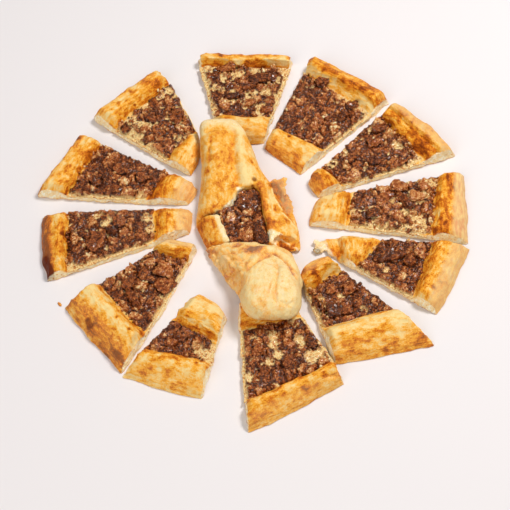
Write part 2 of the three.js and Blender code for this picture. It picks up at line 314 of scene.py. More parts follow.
def lower_to(points, normals, mark, height):
    """Presses the upper side down to a height in mm where the mark lies."""
    share = mark.share(points) * smooth_step(0.0, 0.35, normals[:, 2])
    share = smooth_step(0.2, 0.8, share)
    points[:, 2] += share * (np.minimum(points[:, 2], height) - points[:, 2])


# ---- Places on a slice ------------------------------------------------------------------------
def four_corners(points):
    """The corners of a nearly four-sided outline in plan: where it turns most."""
    flat = [Vector(p[:2]) for p in points]
    hull = []
    for i in convex_hull_2d(flat):
        if not hull or (flat[i] - hull[-1]).length > CORNER_GAP < (flat[i] - hull[0]).length:
            hull.append(flat[i])
    turns = []
    for i, here in enumerate(hull):
        back = here - hull[i - 1]
        ahead = hull[(i + 1) % len(hull)] - here
        turns.append((abs(back.angle_signed(ahead)), here))
    best = sorted(turns, key=lambda turn: -turn[0])[:4]
    return [np.array(corner) for _, corner in best]


class SlicePlan:
    """Where a slice lies: its corners, and each point's share along it and across it."""

    def __init__(self, number):
        self.number = number
        self.dough_node = f"slice_{number:02d}_dough"
        self.filling_node = f"slice_{number:02d}_filling"
        dough = points_of(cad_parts[self.dough_node])
        filling = points_of(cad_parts[self.filling_node])
        self.corners = self.ordered(four_corners(dough[dough[:, 2] < 0.1]))
        self.filling_corners = self.ordered(four_corners(filling))
        shares = [self.shares(np.array([[*corner, 0.0]])) for corner in self.filling_corners]
        self.feet = [float(along[0]) for along, _ in shares]
        inner_right, inner_left, outer_right, outer_left = self.corners
        self.width = np.linalg.norm(inner_right - inner_left), np.linalg.norm(outer_right - outer_left)
        middle_in = (inner_right + inner_left) / 2
        middle_out = (outer_right + outer_left) / 2
        self.length = np.linalg.norm(middle_out - middle_in)
        self.ahead = (middle_out - middle_in) / self.length
        self.left = np.array([-self.ahead[1], self.ahead[0]])

    @staticmethod
    def ordered(corners):
        """Inner right, inner left, outer right, outer left, seen looking outward."""
        by_reach = sorted(corners, key=np.linalg.norm)
        inner, outer = by_reach[:2], by_reach[2:]
        ahead = sum(outer) - sum(inner)
        left = np.array([-ahead[1], ahead[0]])
        return sorted(inner, key=lambda c: c @ left) + sorted(outer, key=lambda c: c @ left)

    @staticmethod
    def spot(corners, along, across):
        """The places in plan, in mm, of these shares of a four-cornered outline."""
        inner_right, inner_left, outer_right, outer_left = (c[None, :] for c in corners)
        along, across = np.atleast_1d(along)[:, None], np.atleast_1d(across)[:, None]
        return ((1 - along) * ((1 - across) * inner_right + across * inner_left)
                + along * ((1 - across) * outer_right + across * outer_left))

    def shares(self, points, corners=None):
        """Each point's share along, 0 at the inner edge, and across, 0 at the right cut."""
        corners = corners or self.corners
        along = np.full(len(points), 0.5)
        across = np.full(len(points), 0.5)
        step = 1e-3
        for _ in range(6):
            here = self.spot(corners, along, across)
            miss = points[:, :2] - here
            slope_along = (self.spot(corners, along + step, across) - here) / step
            slope_across = (self.spot(corners, along, across + step) - here) / step
            area = slope_along[:, 0] * slope_across[:, 1] - slope_along[:, 1] * slope_across[:, 0]
            along = along + (miss[:, 0] * slope_across[:, 1] - miss[:, 1] * slope_across[:, 0]) / area
            across = across + (slope_along[:, 0] * miss[:, 1] - slope_along[:, 1] * miss[:, 0]) / area
        return along, across

    def crust_depths(self, along, across):
        """Share into the inner and into the outer crust: 0 at its edge, 1 where the filling starts."""
        right_in, left_in, right_out, left_out = self.feet
        inner_foot = right_in + (left_in - right_in) * across
        outer_foot = right_out + (left_out - right_out) * across
        return along / inner_foot, (1 - along) / (1 - outer_foot)

    def on_filling(self, along, across):
        """The place in plan at these shares of the filling, in mm."""
        return self.spot(self.filling_corners, along, across)[0]

    def on_crust(self, end, depth, across):
        """The place in plan at a depth share into a crust, in mm."""
        right_in, left_in, right_out, left_out = self.feet
        if end == "in":
            along = depth * (right_in + (left_in - right_in) * across)
        else:
            along = 1 - depth * (1 - right_out - (left_out - right_out) * across)
        return self.spot(self.corners, along, across)[0]


PLANS = [SlicePlan(i + 1) for i in range(SLICE_COUNT)]


# ---- Materials --------------------------------------------------------------------------------
class Maker:
    """Adds and joins the nodes of one material."""

    def __init__(self, name):
        self.material = bpy.data.materials.new(name)
        self.material.use_nodes = True
        self.nodes = self.material.node_tree.nodes
        self.links = self.material.node_tree.links
        self.surface = self.nodes["Principled BSDF"]

    def add(self, kind, **values):
        node = self.nodes.new(kind)
        for name, value in values.items():
            setattr(node, name, value)
        return node

    def join(self, source, target):
        self.links.new(source, target)

    def value(self, source, target):
        """Puts a number or another node's output into a socket."""
        if isinstance(source, (int, float, tuple)):
            target.default_value = source
        else:
            self.join(source, target)

    def attribute(self, name):
        return self.add("ShaderNodeAttribute", attribute_name=name).outputs["Fac"]

    def place(self):
        return self.add("ShaderNodeTexCoord").outputs["Object"]

    def noise(self, size_mm, detail=3.0, place=None):
        texture = self.add("ShaderNodeTexNoise")
        texture.inputs["Scale"].default_value = 1 / (size_mm * MM)
        texture.inputs["Detail"].default_value = detail
        self.join(place or self.place(), texture.inputs["Vector"])
        return texture.outputs["Fac"]

    def math(self, operation, first, second=0.0, clamp=False):
        node = self.add("ShaderNodeMath", operation=operation, use_clamp=clamp)
        self.value(first, node.inputs[0])
        self.value(second, node.inputs[1])
        return node.outputs[0]

    def spread(self, source, low, high, to_low=0.0, to_high=1.0):
        """Maps one span of numbers to another."""
        node = self.add("ShaderNodeMapRange", clamp=True)
        self.value(source, node.inputs["Value"])
        for name, number in zip(("From Min", "From Max", "To Min", "To Max"), (low, high, to_low, to_high)):
            node.inputs[name].default_value = number
        return node.outputs["Result"]

    def ramp(self, source, stops):
        node = self.add("ShaderNodeValToRGB")
        elements = node.color_ramp.elements
        while len(elements) < len(stops):
            elements.new(0.5)
        for element, (position, colour) in zip(elements, stops):
            element.position = position
            element.color = linear(colour)
        self.join(source, node.inputs["Fac"])
        return node.outputs["Color"]

    def mix(self, share, first, second):
        node = self.add("ShaderNodeMix", data_type="RGBA")
        self.value(share, node.inputs[0])
        self.value(first, node.inputs[6])
        self.value(second, node.inputs[7])
        return node.outputs[2]

    def finish(self, **sockets):
        """Sets the surface's sockets, named with underscores, to numbers or other nodes' outputs."""
        for name, source in sockets.items():
            self.value(source, self.surface.inputs[name.replace("_", " ")])
        return self.material

    def bump(self, *layers):
        """Stacks (height, depth in millimetres) layers, the coarse one first."""
        normal = None
        for height, depth in layers:
            node = self.add("ShaderNodeBump")
            node.inputs["Distance"].default_value = depth * MM
            self.join(height, node.inputs["Height"])
            if normal:
                self.join(normal, node.inputs["Normal"])
            normal = node.outputs["Normal"]
        self.join(normal, self.surface.inputs["Normal"])


def dough_material(name, settings, unevenness):
    """Baked dough: cream to brown by how baked each point is, darker where painted shade is added, rosy and
    crumby places, scorched spots, and painted shade in one crack.
    """
    make = Maker(name)
    fibre = make.add("ShaderNodeAttribute", attribute_name="fibre").outputs["Vector"]
    streak = make.noise(2.8, 3.0, place=fibre)
    thread = make.noise(0.9, 2.0, place=fibre)
    mottle = make.noise(7.0, 6.0)
    speckle = make.noise(1.3, 3.0)
    uneven = 0.0
    for texture, strength in ((streak, 0.3), (mottle, 0.3), (thread, 0.14), (speckle, 0.2)):
        uneven = make.math("ADD", uneven, make.spread(texture, 0.3, 0.7, -strength, strength))
    # What is browner is also more uneven.
    share = make.spread(make.attribute("bake"), 0.0, 0.6, 0.6 * unevenness, 0.9 * unevenness)
    baked = make.math("ADD", make.attribute("bake"), make.math("MULTIPLY", uneven, share))
    baked = make.math("ADD", baked, make.spread(speckle, 0.66, 0.8, 0.0, 0.18), clamp=True)
    crust = make.ramp(baked, [(0.0, settings.cream), (0.34, settings.gold), (0.62, settings.amber),
                              (0.94, settings.brown)])
    rosy = make.mix(make.spread(streak, 0.35, 0.65), linear(settings.rosy), linear(settings.cream))
    crust = make.mix(make.math("MULTIPLY", make.attribute("rosy"), 0.85), crust, rosy)
    layers = make.math("MULTIPLY", make.noise(4.0, 3.0), 0.5)
    pores = make.math("ADD", make.math("MULTIPLY", make.noise(1.5, 3.0), 0.5), layers)
    crumb = make.ramp(pores, [(0.34, settings.amber), (0.42, settings.crumb), (0.5, settings.crumb),
                              (0.57, settings.pale_crumb)])
    crumb_share = make.math("MULTIPLY", make.attribute("crumb"), make.spread(mottle, 0.3, 0.5, 0.65, 1.0))
    skin = make.mix(crumb_share, crust, crumb)
    skin = make.mix(make.attribute("burn"), skin, linear(settings.burnt))
    make.bump((mottle, 0.6), (streak, 0.75), (thread, 0.33), (make.noise(0.5, 2.0), 0.12))
    return make.finish(Base_Color=skin, Roughness=make.spread(speckle, 0.3, 0.7, 0.45, 0.65),
                       Specular_IOR_Level=0.2, Specular_Tint=(1.0, 0.8, 0.5, 1.0))


def meat_material(name, settings, roughness):
    """Minced meat: dark in the gaps with painted shade, browner and paler on the grains, with small pale
    flecks painted as glints, cream on the pale patches.
    """
    make = Maker(name)
    blotch = make.noise(3.2, 3.0)
    fleck = make.noise(0.9, 2.0)
    shade = make.math("ADD", make.attribute("tint"), make.spread(blotch, 0.3, 0.7, -0.2, 0.2))
    shade = make.math("ADD", shade, make.spread(fleck, 0.3, 0.7, -0.15, 0.12))
    # Painted glints: the brightest flecks lift the tint to the palest colour.
    shade = make.math("ADD", shade, make.spread(fleck, 0.56, 0.68, 0.0, 0.26), clamp=True)
    meat = make.ramp(shade, [(0.08, settings.dark), (0.38, settings.mid), (0.66, settings.light),
                             (0.92, settings.fat_and_glint)])
    fine = make.math("MULTIPLY", make.noise(1.6, 3.0), 0.4)
    curd = make.math("ADD", make.math("MULTIPLY", blotch, 0.6), fine)
    cheese = make.ramp(curd, [(0.36, settings.mid), (0.42, settings.light), (0.47, settings.pale),
                              (0.52, settings.fat_and_glint), (0.56, settings.pale), (0.62, settings.light)])
    make.bump((blotch, 0.9), (fleck, 0.8))
    return make.finish(
        Base_Color=make.mix(make.attribute("pale"), meat, cheese),
        Roughness=make.spread(blotch, 0.3, 0.7, roughness - 0.1, roughness + 0.2),
        Specular_IOR_Level=0.36, Specular_Tint=(1.0, 0.7, 0.48, 1.0),
        Coat_Weight=0.45, Coat_Roughness=0.08, Coat_Tint=(1.0, 0.9, 0.8, 1.0))


# ---- Dough ------------------------------------------------------------------------------------
def copy_of(node, name, creased=True):
    """The node's own merged copy, quads where the solid had them, with its corners creased."""
    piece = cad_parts[node].copy()
    piece.data = piece.data.copy()
    piece.name = piece.data.name = name
    for key in list(piece.keys()):
        del piece[key]
    piece.parent = None
    piece.data.materials.clear()
    bpy.context.scene.collection.objects.link(piece)
    only(piece)
    bpy.ops.object.mode_set(mode="EDIT")
    bpy.ops.mesh.select_all(action="SELECT")
    bpy.ops.mesh.remove_doubles(threshold=WELD_GAP * MM)
    bpy.ops.mesh.tris_convert_to_quads(face_threshold=math.radians(30), shape_threshold=math.radians(60))
    if creased:
        bpy.ops.mesh.select_mode(type="EDGE")
        bpy.ops.mesh.select_all(action="DESELECT")
        bpy.ops.mesh.edges_select_sharp(sharpness=math.radians(52))
        bpy.ops.transform.edge_crease(value=1)
    bpy.ops.object.mode_set(mode="OBJECT")
    return piece


def risen(piece, skin, softness):
    """Turns the plain copy into one soft skin of even faces."""
    apply_modifier(piece, "REMESH", mode="VOXEL", voxel_size=skin)
    apply_modifier(piece, "SMOOTH", factor=0.5, iterations=softness)
    piece.data.shade_smooth()


def finish_piece(piece, material, slot, *nodes):
    piece.data.materials.clear()
    piece.data.materials.append(material)
    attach(piece, "root")
    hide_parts(*nodes)


def egg(place, size, turn):
    """A rounded lump: its middle and its three half sizes in mm, and its turn in degrees."""
    bpy.ops.object.select_all(action="DESELECT")
    bpy.ops.mesh.primitive_uv_sphere_add(
        segments=40, ring_count=24, radius=1, location=[c * MM for c in place],
        rotation=[math.radians(angle) for angle in turn], scale=[c * MM for c in size])
    bpy.context.view_layer.update()
    return bpy.context.object


def add_lump(target, place, size, turn):
    lump = egg(place, size, turn)
    target.select_set(True)
    lump.select_set(True)
    bpy.context.view_layer.objects.active = target
    bpy.ops.object.join()


def hollow_out(target, place, size, turn):
    cutter = egg(place, size, turn)
    apply_modifier(target, "BOOLEAN", operation="DIFFERENCE", object=cutter, solver="EXACT")
    bpy.data.objects.remove(cutter)


# How baked each crust is, from its edge to where the filling starts, in even steps. The dark last step of
# slice 1's outer crust is painted shade under its lip.
CRUST_BAKES_AND_SHADE = {
    (1, "out"): (0.55, 0.55, 0.32, 0.14, 0.34, 0.74), (1, "in"): (0.34, 0.24, 0.18, 0.18, 0.22, 0.38),
    (2, "out"): (0.50, 0.50, 0.58, 0.42, 0.18, 0.12), (2, "in"): (0.55, 0.37, 0.20, 0.17, 0.30, 0.42),
    (3, "out"): (0.42, 0.28, 0.30, 0.56, 0.58, 0.50), (3, "in"): (0.35, 0.55, 0.55, 0.38, 0.30, 0.35),
    (4, "out"): (0.40, 0.38, 0.42, 0.54, 0.54, 0.34), (4, "in"): (0.30, 0.28, 0.15, 0.22, 0.46, 0.46),
    (5, "out"): (0.34, 0.42, 0.27, 0.36, 0.46, 0.38), (5, "in"): (0.30, 0.22, 0.16, 0.14, 0.20, 0.30),
    (6, "out"): (0.40, 0.36, 0.32, 0.16, 0.10, 0.22), (6, "in"): (0.22, 0.36, 0.30, 0.20, 0.24, 0.30),
    (7, "out"): (0.34, 0.41, 0.44, 0.36, 0.42, 0.50), (7, "in"): (0.40, 0.40, 0.40, 0.43, 0.46, 0.40),
    (8, "out"): (0.20, 0.32, 0.27, 0.30, 0.46, 0.48), (8, "in"): (0.30, 0.25, 0.22, 0.22, 0.30, 0.42),
    (9, "out"): (0.46, 0.56, 0.35, 0.08, 0.15, 0.42), (9, "in"): (0.15, 0.15, 0.22, 0.44, 0.46, 0.25),
    (10, "out"): (0.95, 0.84, 0.28, 0.33, 0.50, 0.43), (10, "in"): (0.34, 0.34, 0.36, 0.50, 0.62, 0.48),
    (11, "out"): (0.46, 0.36, 0.24, 0.30, 0.48, 0.60), (11, "in"): (0.30, 0.30, 0.32, 0.50, 0.68, 0.60),
    (12, "out"): (0.42, 0.26, 0.18, 0.32, 0.44, 0.44), (12, "in"): (0.34, 0.26, 0.18, 0.27, 0.44, 0.46),
}
BASE_BAKE = 0.14                       # how baked the dough is under the filling's border
UNDER_BAKE = 0.42                      # and its underside
# How far a crust's lip and its edge wander, and how far the cuts do, in mm.
LIP_WANDER, EDGE_WANDER, CUT_WANDER = 2.8, 1.5, 1.5
FIBRE_STRETCH = 3.0                    # how many times longer than wide the fibres along a crust are
STROKE = 0.45                          # height of the strokes along a crust, in mm
FINE_GRAIN = 0.14                      # height of the finest unevenness, in mm
# Torn flakes of dough beside a slice: middle from the low corner of its box and half sizes in mm,
# turn in degrees.
FLAKES = {
    5: [((2, 82, 3.2), (8.5, 6.0, 1.6), (16, -10, -35)), ((-5, 79, 2.6), (6.5, 5.0, 1.5), (-18, 8, 20)),
        ((8, 74, 2.8), (7, 4.5, 1.7), (-10, 6, -40)), ((-7, 86, 2.6), (3.5, 3.5, 1.2), (20, 20, 20))],
    9: [((-5, 80, 1.5), (3.2, 2.0, 1.2), (0, 0, -50))],
}
# How far each crust stands proud of its plain shape at the same steps, in mm.
PLAIN_RISE = (0.0, 0.9, 0.0, 0.1, 1.2, 0.2)
CRUST_RISES = {
    (1, "out"): (0.0, 0.8, -0.8, 0.6, -0.5, -1.0), (2, "out"): (0.0, 0.8, 1.0, 0.0, -1.6, -1.0),
    (3, "out"): (0.0, 1.0, 0.3, -2.8, 1.4, 0.5), (4, "out"): (0.0, 0.2, -0.2, -1.0, 1.0, 0.2),
    (10, "out"): (0.0, 0.6, -1.2, 0.4, 0.6, 0.0), (11, "out"): (0.0, 0.8, -0.9, -0.6, 1.3, 0.5),
    (12, "out"): (0.0, 0.8, -0.8, 0.6, 0.6, 0.0), (5, "in"): (0.0, 0.3, -0.9, -1.2, -0.8, -0.6),
    (4, "in"): (0.0, 0.5, -0.4, 0.8, 0.4, -0.3),
}
# Crusts whose outer side stayed pale and rosy, and how much.
PLAIN_ROSY = 0.1
ROSY_SIDES = {(3, "out"): 0.6, (4, "out"): 1.0, (5, "in"): 0.0, (5, "out"): 0.7, (6, "in"): 0.3,
              (7, "out"): 0.2, (9, "in"): 0.8, (9, "out"): 0.15, (10, "in"): 0.65, (11, "in"): 0.6}
# What share of its height a crust has lost at its right and at its left cut.
PLAIN_PINCH = (0.4, 0.4)
PINCHES = {(10, "in"): (0.4, 0.05), (2, "in"): (0.15, 0.4), (9, "in"): (0.4, 0.1), (12, "in"): (0.4, 0.2),
           (8, "in"): (0.4, 0.25), (2, "out"): (0.65, 0.4), (1, "out"): (0.2, 0.2), (3, "out"): (0.35, 0.5)}
# Crusts that slope down to their edge, and the share of their height that is left there.
EDGE_SHARES = {(4, "out"): 0.6, (5, "out"): 0.5, (6, "out"): 0.35, (7, "out"): 0.35, (8, "out"): 0.3,
               (9, "out"): 0.5, (10, "out"): 0.6, (1, "in"): 0.6, (2, "in"): 0.5, (3, "in"): 0.75,
               (12, "in"): 0.6, (11, "in"): 0.6, (10, "in"): 0.7, (4, "in"): 0.7}
# Marks on the crusts: a route as (depth, across) shares, half width in mm, browning (which also carries
# painted shade), height in mm and scorching.
CRUST_MARKS = {
    (1, "in"): [([(0.98, 0.85), (0.94, 0.54)], 2.5, 0.35), ([(0.8, 0.15)], 4, 0.15)],
    (1, "out"): [([(0.33, 0.76)], 1.6, 0.5, -0.4, 0.2), ([(0.76, 0.49), (1.1, 0.09)], 2.6, 0.45, -0.3)],
    (2, "in"): [([(0.76, 0.61)], 1.7, 0.55, -0.5, 0.5), ([(0.86, 0.32)], 2.6, 0.35),
                ([(0.16, 0.56), (0.28, 0.2)], 2.5, 0.2, -0.3)],
    (2, "out"): [([(0.56, 0.48), (0.44, 0.24)], 3.6, 0.28),
                 ([(0.59, 0.82), (0.51, 0.65)], 2.5, 0.3, -0.4), ([(0.34, 0)], 2.4, 0.5, -0.5, 0.15)],
    (3, "in"): [([(0.84, 0.66)], 2.4, 0.35)],
    (3, "out"): [([(0.76, 0.41)], 2.2, 0.18), ([(0.82, 0.16), (0.85, 0.06)], 3, 0.15),
                 ([(0.12, 0.33)], 2, 0.35), ([(0.23, 0.1)], 2.4, 0.25)],
    (4, "in"): [([(0.25, 0.43), (0.4, 0.15)], 2, -0.3, 0.6), ([(0.24, 0.14)], 1.6, 0.45, -0.5)],
    (4, "out"): [([(0.25, 0.66), (0.19, 0.6)], 3.2, 0.33), ([(0.63, 0.3), (0.67, 0.14)], 3.5, 0.1),
                 ([(0.62, 0.01), (0.43, -0.01)], 1.6, 0.25, -0.8)],
    (5, "in"): [([(0.46, 0.67)], 2.4, 0.22), ([(0.1, 0.26)], 3, 0.28),
                ([(0.64, 0.92), (0.85, 0.7)], 1.4, 0.2, -0.8)],
    (5, "out"): [([(0.41, 0.2)], 2.8, 0.5, 0, 0.12), ([(0.56, 0.65)], 2.2, 0.3),
                 ([(0.86, 0.6)], 2.2, 0.3), ([(0.71, 0.95)], 3, 0.25)],
    (6, "in"): [([(0.49, 0.34), (0.95, 0.34)], 3.6, 0.33), ([(0.52, 0.65)], 3, 0.3)],
    (6, "out"): [([(0.2, 0.67)], 4, 0.32), ([(0.25, 0.4)], 4, 0.22), ([(-0.03, 0.6)], 3, 0.35),
                 ([(0.71, 0.99)], 1.3, 0.55, -0.5, 0.2), ([(0.96, 0.82)], 1.5, 0.3, -0.4),
                 ([(0.19, 0.92), (-0.07, 0.96)], 3, 0.2), ([(0.56, 0.21), (0.17, 0.2)], 3, 0.2)],
    (7, "out"): [([(0.43, 0.82), (0.28, 0.93)], 1.3, 0.3, -1.6), ([(1.03, 0.3)], 3.5, 0.15),
                 ([(0.28, 0.01)], 3, -0.25)],
    (8, "in"): [([(0.74, 0.23)], 3.2, 0.33), ([(0.72, 0.04)], 2.2, 0.25), ([(0.99, 0.79)], 3, 0.2),
                ([(0.44, 0.93)], 2.2, -0.3, -0.6)],
    (8, "out"): [([(0.77, 0.83)], 1.2, 0.55, -0.4, 0.2), ([(0.9, 0.87)], 1.1, 0.55, -0.4, 0.2),
                 ([(0.2, 0.5)], 3.5, 0.2), ([(0.03, 0.64)], 3, 0.25),
                 ([(0.56, 0.25), (0.65, 0.42)], 3, 0.2)],
    (9, "in"): [([(1.44, 0.81), (1.79, 1.02)], 2.2, 0.5, -0.4, 0.1), ([(-0.07, 0.52)], 2.5, 0.25)],
    (9, "out"): [([(0.14, 0.35), (0.1, 0.42)], 3.4, 0.5, -0.3, 0.5), ([(0.7, 0.62)], 1.3, 0.6, -0.5, 0.2),
                 ([(0.72, 0.85)], 1.7, 0.65, -0.6, 0.4), ([(0.12, 0.84), (0.13, 0.94)], 3, 0.4, 0, 0.12),
                 ([(0.84, 0.45), (0.81, 0.55)], 2.6, 0.3),
                 ([(0.02, 0.62), (-0.03, 0.75)], 2.4, 0.3, -0.3)],
    (10, "in"): [([(0.18, 0.47)], 1.5, 0.5, -0.3, 0.1)],
    (10, "out"): [([(0.29, 0.35), (0.37, 0.39)], 1.8, 0.5, -0.6),
                  ([(0.8, 0.4), (1.01, 0.41)], 2, 0.5, -1.2, 0.1),
                  ([(-0.02, 0.72), (0.2, 0.98)], 5, 0.5, 0, 0.95), ([(0.07, 0.04)], 2, -0.3)],
    (11, "in"): [([(0.07, 0.56)], 3, 0.18), ([(0.05, 0.1)], 2.4, 0.2)],
    (11, "out"): [([(0.15, 0.12)], 3.2, 0.6, 0, 0.45), ([(1.42, 0.46)], 1.1, 0.45, -0.3, 0.1),
                  ([(1.37, 0.74)], 1, 0.35, -0.3), ([(0.63, 0.62)], 4, 0.12)],
    (12, "in"): [([(0.18, 0.57)], 1.5, 0.5, -0.6, 0.2)],
    (12, "out"): [([(0.29, 0.51)], 2.6, 0.55, -0.3, 0.1), ([(0.87, 0.57)], 1.3, 0.6, -0.5, 0.4),
                  ([(0.1, 0.73)], 2.4, 0.25), ([(0.54, 0.96)], 3.5, -0.2, -0.4),
                  ([(0.67, 0.15)], 3, 0.2)],
}


def crust_mark(plan, end, route, width, bake, height=0.0, burn=0.0):
    return Mark([plan.on_crust(end, *place) for place in route], width, height, bake, burn)


def crust_marks(plan):
    return [crust_mark(plan, end, *row) for end in ENDS for row in CRUST_MARKS.get((plan.number, end), ())]


def blisters(plan):
    """Small browned blisters and broad browner or paler patches, strewn over both crusts."""
    draw = np.random.default_rng(plan.number + 400)
    marks = []
    for end in ENDS:
        for _ in range(7 if end == "out" else 4):
            place = plan.on_crust(end, *draw.uniform(0.05, 0.92, 2))
            width, height, bake = (draw.uniform(*span) for span in ((1.0, 2.4), (0.2, 0.8), (0.12, 0.32)))
            marks.append(Mark([place], width, height, bake))
        for _ in range(4):
            place = plan.on_crust(end, *draw.uniform(0.0, 0.9, 2))
            marks.append(Mark([place], draw.uniform(4.5, 8.0), bake=draw.uniform(-0.22, 0.2)))
    return marks


def blank_paints(count):
    return {name: np.zeros(count) for name in ("bake", "burn", "rosy", "crumb")}


class CrustMap:
    """Where each point of a slice's dough lies on the crust it is nearer to, and which way it faces."""

    def __init__(self, plan, points, normals):
        self.plan, self.seed = plan, plan.number * 11
        along, self.across = plan.shares(points)
        self.at_inner = along < 0.5
        self.depth = self.nearer(*plan.crust_depths(along, self.across))    # share into the crust
        width = self.nearer(*plan.width)
        self.run = self.across * width                                      # mm along the crust
        self.from_cut = np.minimum(self.across, 1 - self.across) * width
        self.inward = self.nearer(along, 1 - along) * plan.length
        self.toward = self.nearer(1.0, -1.0)[:, None] * np.array([*plan.ahead, 0.0])
        self.crust = 1 - smooth_step(0.95, 1.08, self.depth)
        self.loose = smooth_step(0.01, 0.05, -along)                        # the torn flakes beside it
        self.upward = smooth_step(0.15, 0.7, normals[:, 2])
        self.cut = smooth_step(0.6, 0.85, np.abs(normals[:, :2] @ plan.left))
        self.under = smooth_step(0.4, 0.8, -normals[:, 2])
        self.stretched = np.stack([self.run, 40.0 * self.at_inner, 0 * self.run], 1)
        self.bent = self.depth + 0.05 * noise(self.stretched, 15, self.seed + 9)

    def nearer(self, inner, outer):
        return np.where(self.at_inner, inner, outer)

    def rows(self, table, usual=None):
        """What a table holds for the inner and for the outer crust."""
        return [table.get((self.plan.number, end), usual) for end in ENDS]

    def in_steps(self, table, usual=None):
        """A table's value at each point, where its rows go in even steps from a crust's edge inward."""
        rows = self.rows(table, usual)
        return self.nearer(*(np.interp(self.bent, np.linspace(0, 1, len(row)), row) for row in rows))


def shape_slice(points, normals, at, settings):
    """Gives a slice's dough its unevenness. Returns places along its fibres, and streaks and strokes."""
    seed = at.seed
    # The crust's lip wanders, its edge swells and draws in, and the cuts are a little out of true.
    lip = smooth_step(0.4, 0.8, at.depth) * (1 - smooth_step(1.0, 1.12, at.depth)) * (1 - at.under)
    points += at.toward * (LIP_WANDER * rough_noise(at.stretched, 19, seed, 2) * lip)[:, None]
    edge = (1 - smooth_step(0.0, 0.3, at.depth)) * (1 - at.cut)
    points += at.toward * (EDGE_WANDER * rough_noise(at.stretched, 22, seed + 3, 2) * edge)[:, None]
    near_cut = 1 - smooth_step(0, 5, at.from_cut)
    points[:, :2] += at.plan.left * (CUT_WANDER * rough_noise(points, 8, seed + 6) * near_cut)[:, None]

    # Its top has folds along it, soft lumps, wrinkles and strokes.
    strength = 0.85 + 0.45 * noise(at.stretched, 21, seed + 8)
    height = at.in_steps(CRUST_RISES, PLAIN_RISE) * strength * at.upward * at.crust
    lumps = rough_noise(points, 17, seed) * at.crust * (1 - at.under) * (1 - 0.8 * at.cut)
    height += (settings.lump / MM) * lumps
    fibres = np.stack([at.run / FIBRE_STRETCH, at.inward, points[:, 2]], 1)
    streaks = rough_noise(fibres, 4.2, seed + 5)
    height += (settings.wrinkle / MM) * streaks * at.crust * at.upward
    strokes = smooth_step(0.8, 1.0, 1 - np.abs(rough_noise(fibres, 7, seed + 40, 2)))
    height += STROKE * strokes * at.crust * at.upward
    # The cut is open-pored.
    pores, _ = cells(points * [1, 1, 1.25], 2.4, seed)
    crumb_pits = np.clip(pores - 0.2, 0, 0.6) * smooth_step(-0.3, 0.3, noise(points, 5, seed + 9))
    height -= 1.3 * (settings.pit / MM) * crumb_pits * at.cut
    height += FINE_GRAIN * noise(points, 2.2, seed + 17)
    height += 1.1 * rough_noise(points, 7, seed + 31, 2) * at.loose
    points += normals * height[:, None]

    left_there = at.nearer(*at.rows(EDGE_SHARES, 1.0))
    points[:, 2] *= left_there + (1 - left_there) * smooth_step(-0.1, 0.8, at.bent)
    # The knife pressed the crusts down at the cuts.
    right, left = (at.nearer(*pair) for pair in zip(*at.rows(PINCHES, PLAIN_PINCH)))
    pinch = right + (left - right) * smooth_step(0.4, 0.6, at.across)
    points[:, 2] *= 1 - pinch * at.crust * (1 - smooth_step(-1, 7, at.from_cut))
    return fibres, streaks, strokes


def colour_slice(points, at, streaks, strokes):
    """How baked, rosy and crumby a slice's dough is at each point before its marks, with a line of painted
    shade along each crust's foot.
    """
    paints = blank_paints(len(points))
    bake = at.in_steps(CRUST_BAKES_AND_SHADE) * at.crust + BASE_BAKE * (1 - at.crust)
    # Painted shade: a dark line along the crust's foot, where its lip shades the edge of the meat.
    bake += 0.15 * smooth_step(0.86, 0.97, at.bent) * at.crust            # darkest where it meets the meat
    bake += 0.12 * (streaks + strokes - 0.3) * at.crust + 0.18 * rough_noise(points, 11, at.seed + 21)
    below = UNDER_BAKE + 0.2 * rough_noise(points, 14, at.seed + 2)
    paints["bake"] += np.where(at.under > 0.5, below, bake)
    rosy = at.nearer(*at.rows(ROSY_SIDES, PLAIN_ROSY))
    paints["rosy"] += rosy * (1 - smooth_step(0.3, 0.5, at.bent)) * (1 - at.under)
    paints["crumb"] += at.cut * smooth_step(0.3, 1.2, points[:, 2])
    paints["crumb"] = np.maximum(paints["crumb"], 0.8 * at.loose)
    return paints


def finish_dough(piece, points, normals, marks, paints, fibres, seed):
    """Leaves the marks, then puts the points, the paints and the fibres into the piece."""
    leave_marks(points, normals, marks, paints, seed)
    points[:, 2] = np.maximum(points[:, 2], 0)
    move_points(piece, points)
    for name, values in paints.items():
        paint(piece, name, values)
    paint_fibres(piece, fibres)
    return piece


def slice_dough(plan, settings):
    piece = copy_of(plan.dough_node, f"{plan.dough_node}_baked")
    apply_modifier(piece, "SUBSURF", levels=2, render_levels=2)
    for place, size, turn in FLAKES.get(plan.number, ()):
        add_lump(piece, low_corner(plan.dough_node) + place, size, turn)
    risen(piece, settings.skin, 1)
    points, normals = points_of(piece), normals_of(piece)
    at = CrustMap(plan, points, normals)
    fibres, streaks, strokes = shape_slice(points, normals, at, settings)
    paints = colour_slice(points, at, streaks, strokes)
    marks = crust_marks(plan) + blisters(plan)
    return finish_dough(piece, points, normals, marks, paints, fibres, at.seed)


